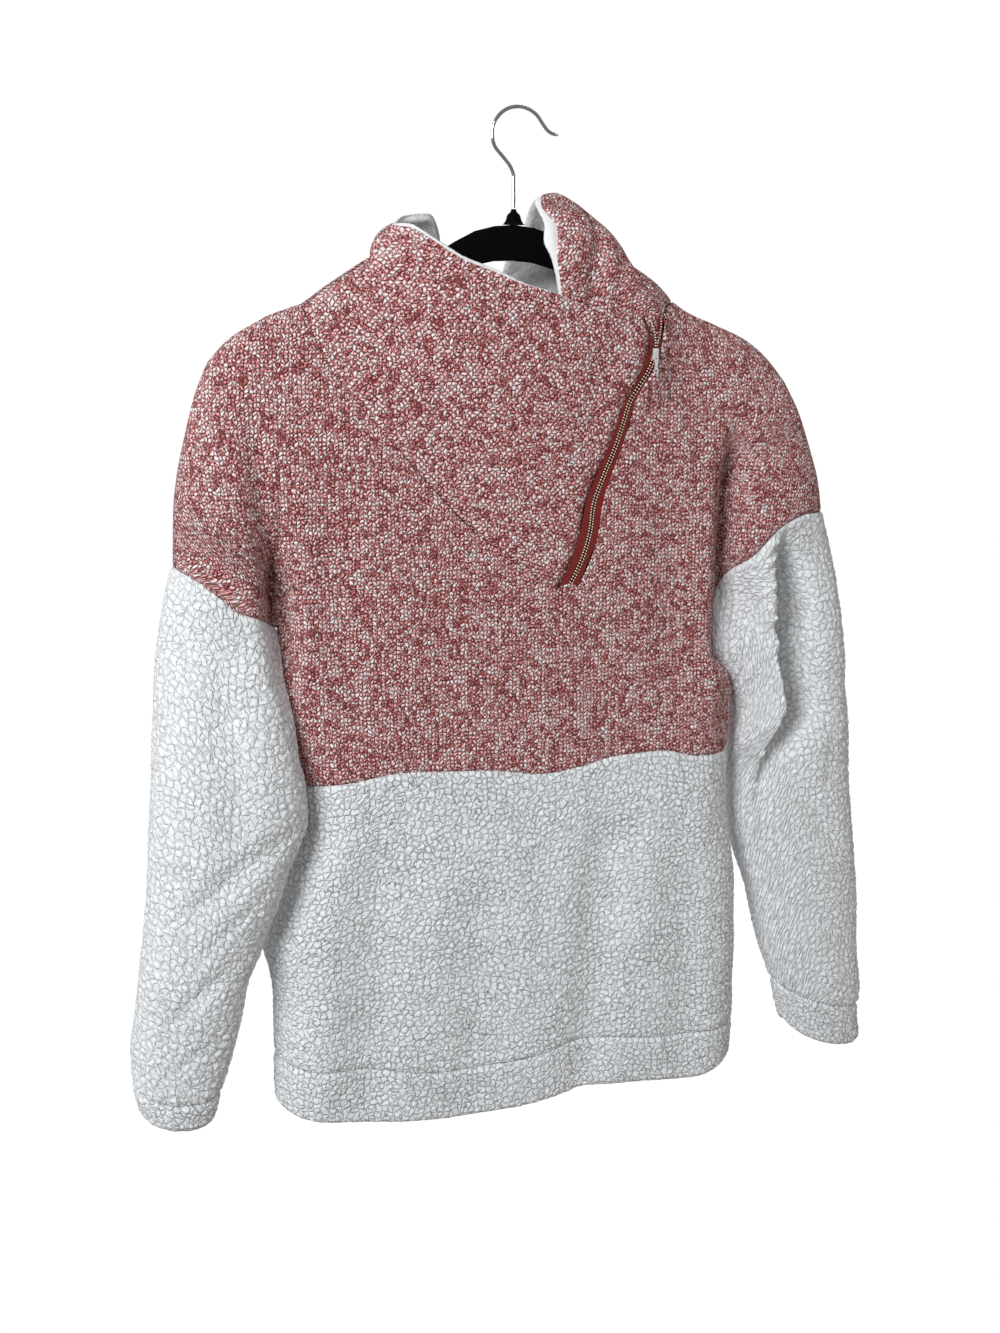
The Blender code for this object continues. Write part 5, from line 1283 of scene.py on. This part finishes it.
def coil_finish(settings):
    """Coil: the tape's red where the teeth mesh, pale gold at their outer tips."""
    made, tree, shader = finish("zip_coil_gold", 0.4)
    tip = wired(tree, "Attribute", attribute_name="pile", attribute_type="GEOMETRY").outputs["Fac"]
    stops = ((0.05, tuple(1.2 * c for c in settings.tape)), (0.35, tuple(settings.teeth)))
    tree.links.new(ramp(tree, tip, stops), shader.inputs["Base Color"])
    return made


def speckled_finish(name, dark, light, roughness, scale, metallic=0.0, bump=0.0, sheen=0.0):
    """Plain finish with a fine grain in its colour, roughness and height."""
    made, tree, shader = finish(name, roughness, sheen=sheen, metallic=metallic)
    place = wired(tree, "TexCoord").outputs["Object"]
    grain = noise(tree, place, scale, 3.0)
    tree.links.new(ramp(tree, grain, ((0.35, dark), (0.65, light))), shader.inputs["Base Color"])
    rough = plus(tree, times(tree, grain, 0.2), roughness - 0.1)
    tree.links.new(rough, shader.inputs["Roughness"])
    if bump:
        bumped(tree, shader, grain, bump)
    return made


# ---------------------------------------------------------------- settings

def length_setting(name, description, default):
    return bpy.props.FloatProperty(name=name, description=description, default=default, min=0,
                                   precision=5, subtype="DISTANCE", unit="LENGTH")


def colour_setting(name, description, default):
    return bpy.props.FloatVectorProperty(name=name, description=description, default=default, size=3, min=0,
                                         max=1, subtype="COLOR")


def share_setting(name, description, default):
    return bpy.props.FloatProperty(name=name, description=description, default=default, min=0, max=1,
                                   subtype="FACTOR")


def power_setting(name, description, default):
    return bpy.props.FloatProperty(name=name, description=description, default=default, min=0, unit="POWER")


def angle_setting(name, description, default):
    return bpy.props.FloatProperty(name=name, description=description, default=math.radians(default),
                                   subtype="ANGLE", unit="ROTATION")


class KnitSettings(bpy.types.PropertyGroup):
    wale: length_setting("Wale", "Width of one column of stitches", 0.0060)
    course: length_setting("Course", "Height of one row of stitches", 0.0032)
    bias_wale: length_setting("Bias wale", "Width of one column on the funnel front", 0.0068)
    bias_course: length_setting("Bias course", "Height of one row on the funnel front", 0.0034)
    relief: length_setting("Relief", "Height of a stitch", 0.0015)
    seam_sink: length_setting("Seam sink", "How far the knit sinks at its seams", 0.0014)
    lean: share_setting("Lean", "How far a stitch's legs spread upwards", 0.5)
    loose: share_setting("Loose", "How irregular the loops are", 0.62)
    # The gap shade and gap colour below are painted shade in the gaps between stitches.
    gap_shade: share_setting("Gap shade", "How dark the gaps are", 0.7)
    deep: colour_setting("Deep red", "Darkest strand of the yarn", (0.22, 0.028, 0.03))
    brick: colour_setting("Brick red", "Red strand of the yarn", (0.56, 0.105, 0.10))
    pink: colour_setting("Pink", "Middle shade of the marl", (0.95, 0.46, 0.45))
    pale: colour_setting("Pale pink", "Pale shade of the marl", (0.99, 0.73, 0.73))
    white: colour_setting("Off-white", "White strand of the yarn", (1.0, 0.97, 0.97))
    gap: colour_setting("Gap", "Shade in the gaps between stitches", (0.11, 0.018, 0.018))


class FleeceSettings(bpy.types.PropertyGroup):
    step: length_setting("Step", "Distance between the points of the sherpa's surface", 0.0013)
    sleeve_pebble: length_setting("Sleeve pebble", "Size of the sherpa's pebbles on the sleeves", 0.0062)
    body_pebble: length_setting("Body pebble", "Size of the sherpa's pebbles on the body", 0.0052)
    sleeve_height: length_setting("Sleeve pile", "Height of the pebbles on the sleeves", 0.0013)
    body_height: length_setting("Body pile", "Height of the pebbles on the body", 0.0012)
    sleeve_curl: length_setting("Sleeve curl", "Size of one curl of the pile on the sleeves", 0.0061)
    body_curl: length_setting("Body curl", "Size of one curl of the pile on the body", 0.0051)
    curl_relief: length_setting("Curl relief", "Height of one curl", 0.0009)
    nap: length_setting("Nap", "Height of the brushed fibres", 0.0004)
    crown: colour_setting("Crown", "Colour of the pebbles' crowns", (0.91, 0.925, 0.945))
    # The crease and hollow colours are painted shade, the creases darker on the body than on the sleeves.
    sleeve_crease_shade: colour_setting("Sleeve crease", "Colour between the curls on the sleeves",
                                  (0.54, 0.545, 0.545))
    body_crease_shade: colour_setting("Body crease", "Colour between the curls on the body", (0.27, 0.27, 0.275))
    hollow_shade: colour_setting("Hollow", "Colour between the pebbles", (0.74, 0.755, 0.77))
    facing_crown: colour_setting("Facing", "Colour of the smooth fleece inside the collar",
                                 (0.93, 0.935, 0.935))
    # Painted shade between the facing's tufts.
    facing_crease_shade: colour_setting("Facing crease", "Its shade between tufts", (0.66, 0.66, 0.65))


class TrimSettings(bpy.types.PropertyGroup):
    tooth_pitch: length_setting("Tooth pitch", "Distance between the zip's teeth", 0.0021)
    tape: colour_setting("Tape", "Colour of the zip's tape", (0.30, 0.024, 0.016))
    teeth: colour_setting("Teeth", "Colour of the zip's coil", (1.0, 0.82, 0.62))
    silver: colour_setting("Slider", "Colour of the slider and its pull", (0.96, 0.96, 0.97))
    flock: colour_setting("Flock", "Colour of the hanger's flocking", (0.004, 0.004, 0.005))
    wire: colour_setting("Wire", "Colour of the hook's wire", (0.55, 0.56, 0.58))


class StageSettings(bpy.types.PropertyGroup):
    camera: bpy.props.FloatVectorProperty(name="Camera", description="Place of the camera", size=3,
                                          default=(-0.343, -1.151, -0.212), subtype="TRANSLATION",
                                          unit="LENGTH")
    tilt: angle_setting("Tilt", "Turn of the camera up from straight down", 79.6)
    heading: angle_setting("Heading", "Turn of the camera about the vertical", -15.91)
    lens: bpy.props.FloatProperty(name="Lens", description="Focal length in millimetres", default=40.51,
                                  min=1)
    key: power_setting("Key light", "Power of the large light at the front left", 57.0)
    fill: power_setting("Fill light", "Power of the light at the right", 4.0)
    back: power_setting("Back light", "Power of the light behind", 30.0)
    room: bpy.props.FloatProperty(name="Room light", description="Strength of the light all round",
                                  default=0.29, min=0)
    backdrop: colour_setting("Backdrop", "Colour of the floor and backdrop", (1.0, 1.0, 1.0))


class PullOverSettings(bpy.types.PropertyGroup):
    knit: bpy.props.PointerProperty(type=KnitSettings, name="Knit", description="Marled knit")
    fleece: bpy.props.PointerProperty(type=FleeceSettings, name="Fleece", description="Sherpa and its facing")
    trim: bpy.props.PointerProperty(type=TrimSettings, name="Trim", description="Zip and hanger")
    stage: bpy.props.PointerProperty(type=StageSettings, name="Stage", description="Light and camera")


# ---------------------------------------------------------------- operators

@functools.lru_cache(maxsize=1)
def cloth_net():
    """The garment's surfaces, worked out once."""
    return garment()


def shared_finish(name, make):
    """A material that is made once and used by several pieces."""
    return bpy.data.materials.get(name) or make()


def fleece_cloth(settings, where):
    """Step, size, height, stretch and seed of the pebbles on the sleeves or the body."""
    size, height = ((settings.sleeve_pebble, settings.sleeve_height) if where == "sleeve"
                    else (settings.body_pebble, settings.body_height))
    stretch = np.array([1.0, 0.8, 1.12]) if where == "sleeve" else np.array([1.0, 0.8, 1.05])
    return types.SimpleNamespace(step=settings.step * 1000, size=size * 1000, height=height * 1000,
                                 stretch=stretch, seed=11 if where == "sleeve" else 4)


def yoke_finish():
    knit = bpy.context.scene.pullover.knit
    return shared_finish("marled_yoke", lambda: knit_finish("marled_yoke", knit.wale, knit.course, knit))


def bias_finish():
    knit = bpy.context.scene.pullover.knit
    return shared_finish("marled_bias",
                         lambda: knit_finish("marled_bias", knit.bias_wale, knit.bias_course, knit))


def sherpa_finish(where):
    settings = bpy.context.scene.pullover.fleece
    # The curl size and the painted crease shade for the sleeves or the body.
    curl, crease = ((settings.sleeve_curl, settings.sleeve_crease_shade) if where == "sleeve"
                    else (settings.body_curl, settings.body_crease_shade))
    return shared_finish("sherpa_" + where, lambda: sherpa_cloth("sherpa_" + where, curl, crease, settings))


def facing_finish():
    settings = bpy.context.scene.pullover.fleece
    return shared_finish("facing", lambda: fleece_finish("facing", settings.facing_crease_shade,
                                                         settings.facing_crown, settings.nap * 0.7))


class PULLOVER_OT_yoke(bpy.types.Operator):
    """Front and back of the yoke, with the caps of both arms, in marled knit"""
    bl_idname = "pullover.yoke"
    bl_label = "Knit Yoke"

    def execute(self, context):
        cloth = cloth_net()
        settings = context.scene.pullover.knit
        for face, flip in (("front", False), ("back", True)):
            body = cloth[face]
            grain = grain_across(body)
            rows = slice(0, (len(UPPER_ROWS) - 1) * ROW_SPLIT + 1)
            patches = [(body, grain, flip)]
            for hand, column in (("left", 0), ("right", -1)):
                patch = cloth[f"arm_{face}_{hand}"]
                patches.append((patch, grain_across(patch, grain[rows, column, 0]),
                                flip != (hand == "right")))
            piece = knit_piece("yoke_" + face, patches, yoke_finish(), settings)
            dress(piece, "upper_" + face)
        return {"FINISHED"}


class PULLOVER_OT_funnel(bpy.types.Operator):
    """Funnel front and the collar's back, in marled knit"""
    bl_idname = "pullover.funnel"
    bl_label = "Funnel Neck"

    def execute(self, context):
        cloth = cloth_net()
        settings = context.scene.pullover.knit
        for name, grid, grain, made, node in (
                ("funnel_knit", cloth["funnel"], grain_bias(cloth["funnel"]), bias_finish(), "funnel_front"),
                ("collar_knit", cloth["collar"], grain_round(cloth["collar"]), yoke_finish(), "collar_back")):
            piece = knit_piece(name, [(grid, grain, True)], made, settings)
            dress(piece, node)
        return {"FINISHED"}


class PULLOVER_OT_facing(bpy.types.Operator):
    """Smooth fleece that lines the collar"""
    bl_idname = "pullover.facing"
    bl_label = "Collar Facing"

    def execute(self, context):
        cloth = cloth_net()
        settings = fleece_cloth(context.scene.pullover.fleece, "body")
        for name, grid, node, lips in (
                ("facing_funnel", cloth["funnel"][SHOULDER_ROWS * ROW_SPLIT:], "funnel_lining", FUNNEL_LIP),
                ("facing_collar", cloth["collar"][ROW_SPLIT:], "collar_lining", COLLAR_LIP)):
            piece = lining_piece(name, grid, facing_finish(), settings, lips)
            dress(piece, node)
        return {"FINISHED"}


class PULLOVER_OT_lower_body(bpy.types.Operator):
    """Lower body and hem band in sherpa fleece"""
    bl_idname = "pullover.lower_body"
    bl_label = "Lower Body"

    def execute(self, context):
        settings = fleece_cloth(context.scene.pullover.fleece, "body")
        cloth = cloth_net()
        for face, flip in (("front", False), ("back", True)):
            grid = cloth["skirt_" + face]
            skirt, band = grid[:SKIRT_ROWS + 1], grid[SKIRT_ROWS:]
            for name, part, node, hem in (("skirt_" + face, skirt, "lower_" + face, SEAM_SINK),
                                          ("band_" + face, band, "hem_band_" + face, HEM_SINK)):
                def seams(base, hem=hem):
                    return [(distance_to_row(base, 0), *SEAM_SINK), (distance_to_row(base, -1), *hem),
                            (distance_to_column(base, 0), *SIDE_SINK),
                            (distance_to_column(base, -1), *SIDE_SINK)]
                piece = fleece_piece(name, part, sherpa_finish("body"), settings, seams, flip=flip)
                dress(piece, node)
        return {"FINISHED"}


class PULLOVER_OT_sleeves(bpy.types.Operator):
    """Sleeves and cuffs in sherpa fleece"""
    bl_idname = "pullover.sleeves"
    bl_label = "Sleeves and Cuffs"

    def execute(self, context):
        settings = fleece_cloth(context.scene.pullover.fleece, "sleeve")
        cloth = cloth_net()
        for hand in ("left", "right"):
            grid = cloth["sleeve_" + hand]
            for name, part, node, low in (
                    ("arm_" + hand, grid[:SLEEVE_ROWS + 1], "sleeve_" + hand, CUFF_SINK),
                    ("wrist_" + hand, grid[SLEEVE_ROWS:], "cuff_" + hand, HEM_SINK)):
                high = SEAM_SINK if low is CUFF_SINK else CUFF_SINK

                def seams(base, high=high, low=low):
                    return [(distance_to_row(base, 0), *high), (distance_to_row(base, -1), *low)]
                cloth_finish = sherpa_finish("sleeve" if low is CUFF_SINK else "body")
                piece = fleece_piece(name, part, cloth_finish, settings, seams, closed=True,
                                     flip=hand == "right")
                dress(piece, node)
        return {"FINISHED"}


class PULLOVER_OT_zip(bpy.types.Operator):
    """Zip: woven tapes, coil teeth, slider and pull"""
    bl_idname = "pullover.zip"
    bl_label = "Zip"

    def execute(self, context):
        settings = context.scene.pullover.trim
        cloth = cloth_net()
        pitch = settings.tooth_pitch * 1000
        gold = coil_finish(settings)
        silver = speckled_finish("slider_plating", tuple(0.8 * c for c in settings.silver),
                                 tuple(settings.silver), 0.2, 500.0, metallic=0.45)
        closed = np.arange(ZIP_FOOT + 5, SLIDER_Z - 1, pitch)
        rows = [teeth(cloth, lambda z, side=side: read(ZIP, z, 2) + side * TOOTH_OFFSET,
                      closed + side * pitch / 4, side) for side in (-1, 1)]
        points, faces, tips = gathered(rows)
        chain = mesh_piece("zip_teeth", points, faces, gold, pile=tips)
        dress(chain, "zip_coil")
        for hand, side in (("left", -1), ("right", 1)):
            low, high = (1000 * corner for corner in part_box("zip_half_coil_" + hand))
            opened = np.arange(low.z + 0.5, high.z - 0.3, pitch)
            edge = zip_edges(cloth)[0 if hand == "left" else 1]
            row = teeth(cloth, lambda z, edge=edge, side=side: np.interp(z, edge[:, 2], edge[:, 0])
                        - side * OPEN_REACH, opened, side)
            piece = mesh_piece("zip_teeth_" + hand, *row[:2], gold, pile=row[2])
            dress(piece, "zip_half_coil_" + hand)
        tape = tape_finish(settings)
        for node, made in (("zip_tape_left", tape), ("zip_tape_right", tape), ("zip_slider", silver),
                           ("zip_pull", silver)):
            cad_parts[node].material_slots[0].material = made
        return {"FINISHED"}


class PULLOVER_OT_hanger(bpy.types.Operator):
    """Flocked hanger and its wire hook"""
    bl_idname = "pullover.hanger"
    bl_label = "Hanger"

    def execute(self, context):
        settings = context.scene.pullover.trim
        flock = speckled_finish("flocking", tuple(0.4 * c for c in settings.flock), tuple(settings.flock),
                                0.95, 2500.0, bump=0.0002)
        flock.node_tree.nodes["Principled BSDF"].inputs["Specular IOR Level"].default_value = 0.05
        wire = speckled_finish("bright_wire", tuple(0.85 * c for c in settings.wire), tuple(settings.wire),
                               0.16, 400.0, metallic=1.0)
        for node, made in (("hanger_body", flock), ("hanger_boss", flock), ("hanger_hook", wire)):
            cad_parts[node].material_slots[0].material = made
        return {"FINISHED"}


class PULLOVER_OT_stage(bpy.types.Operator):
    """Pale floor and backdrop, soft light and camera"""
    bl_idname = "pullover.stage"
    bl_label = "Stage"

    def execute(self, context):
        settings = context.scene.pullover.stage
        turn = np.linspace(0, math.pi / 2, 12)
        bend = np.stack([WALL_REACH - WALL_BEND + WALL_BEND * np.sin(turn),
                         FLOOR_Z + WALL_BEND - WALL_BEND * np.cos(turn)], -1)
        profile = np.concatenate([[[0.001, FLOOR_Z]], bend, [[WALL_REACH, WALL_TOP]]])
        around = np.linspace(0, 2 * math.pi, 97)[:-1]
        bowl = np.stack([profile[:, :1] * np.cos(around), profile[:, :1] * np.sin(around),
                         np.broadcast_to(profile[:, 1:], (len(profile), len(around)))], -1)
        number = np.arange(len(profile) * len(around)).reshape(len(profile), -1)
        made, tree, shader = finish("backdrop", 0.9)
        shader.inputs["Base Color"].default_value = (0, 0, 0, 1)
        shader.inputs["Emission Color"].default_value = (*settings.backdrop, 1)
        shader.inputs["Emission Strength"].default_value = 1.0
        stage = mesh_piece("backdrop", bowl.reshape(-1, 3) / MM, [quads_of(number, True)], made)
        stage.visible_shadow = stage.visible_diffuse = stage.visible_glossy = False

        world = bpy.data.worlds.new("room")
        world.use_nodes = True
        world.node_tree.nodes["Background"].inputs["Color"].default_value = (1, 0.985, 0.965, 1)
        world.node_tree.nodes["Background"].inputs["Strength"].default_value = settings.room
        context.scene.world = world
        for name, place, size, power, tint in (
                ("key", (-1.7, -1.5, 0.7), 1.0, settings.key, (0.94, 0.975, 1.0)),
                ("fill", (1.6, -1.2, -0.2), 1.2, settings.fill, (1.0, 0.97, 0.93)),
                ("back", (0.5, 2.3, 0.1), 1.6, settings.back, (0.97, 0.985, 1.0))):
            light = bpy.data.lights.new(name, "AREA")
            light.energy = power
            light.size = size
            light.color = tint
            lamp = bpy.data.objects.new(name, light)
            lamp.location = place
            lamp.rotation_euler = (mathutils.Vector(LIT) - lamp.location).to_track_quat("-Z", "Y").to_euler()
            lamp.visible_camera = False
            context.scene.collection.objects.link(lamp)

        lens = bpy.data.cameras.new("camera")
        lens.lens = settings.lens
        lens.sensor_width = 36.0
        lens.clip_end = 20.0
        camera = bpy.data.objects.new("camera", lens)
        camera.location = settings.camera
        camera.rotation_euler = (settings.tilt, 0, settings.heading)
        context.scene.collection.objects.link(camera)
        context.scene.camera = camera
        context.scene.view_settings.view_transform = "Standard"
        return {"FINISHED"}


OPERATORS = (PULLOVER_OT_yoke, PULLOVER_OT_funnel, PULLOVER_OT_facing, PULLOVER_OT_lower_body,
             PULLOVER_OT_sleeves, PULLOVER_OT_zip, PULLOVER_OT_hanger, PULLOVER_OT_stage)


class PULLOVER_PT_panel(bpy.types.Panel):
    """Lists the pullover's settings and pieces"""
    bl_idname = "PULLOVER_PT_panel"
    bl_label = "Pullover"
    bl_space_type = "VIEW_3D"
    bl_region_type = "UI"
    bl_category = "Pullover"

    def draw(self, context):
        for group_name in ("knit", "fleece", "trim", "stage"):
            group_of = getattr(context.scene.pullover, group_name)
            box = self.layout.box()
            box.label(text=group_name.capitalize())
            for setting in group_of.__annotations__:
                box.prop(group_of, setting)
        for operator in OPERATORS:
            self.layout.operator(operator.bl_idname)


CLASSES = (KnitSettings, FleeceSettings, TrimSettings, StageSettings, PullOverSettings, *OPERATORS,
           PULLOVER_PT_panel)


def register():
    for made in CLASSES:
        bpy.utils.register_class(made)
    bpy.types.Scene.pullover = bpy.props.PointerProperty(type=PullOverSettings)


def unregister():
    del bpy.types.Scene.pullover
    for made in reversed(CLASSES):
        bpy.utils.unregister_class(made)


def main():
    register()
    bpy.ops.pullover.yoke()
    bpy.ops.pullover.funnel()
    bpy.ops.pullover.facing()
    bpy.ops.pullover.lower_body()
    bpy.ops.pullover.sleeves()
    bpy.ops.pullover.zip()
    bpy.ops.pullover.hanger()
    bpy.ops.pullover.stage()


if __name__ == "__main__":
    main()
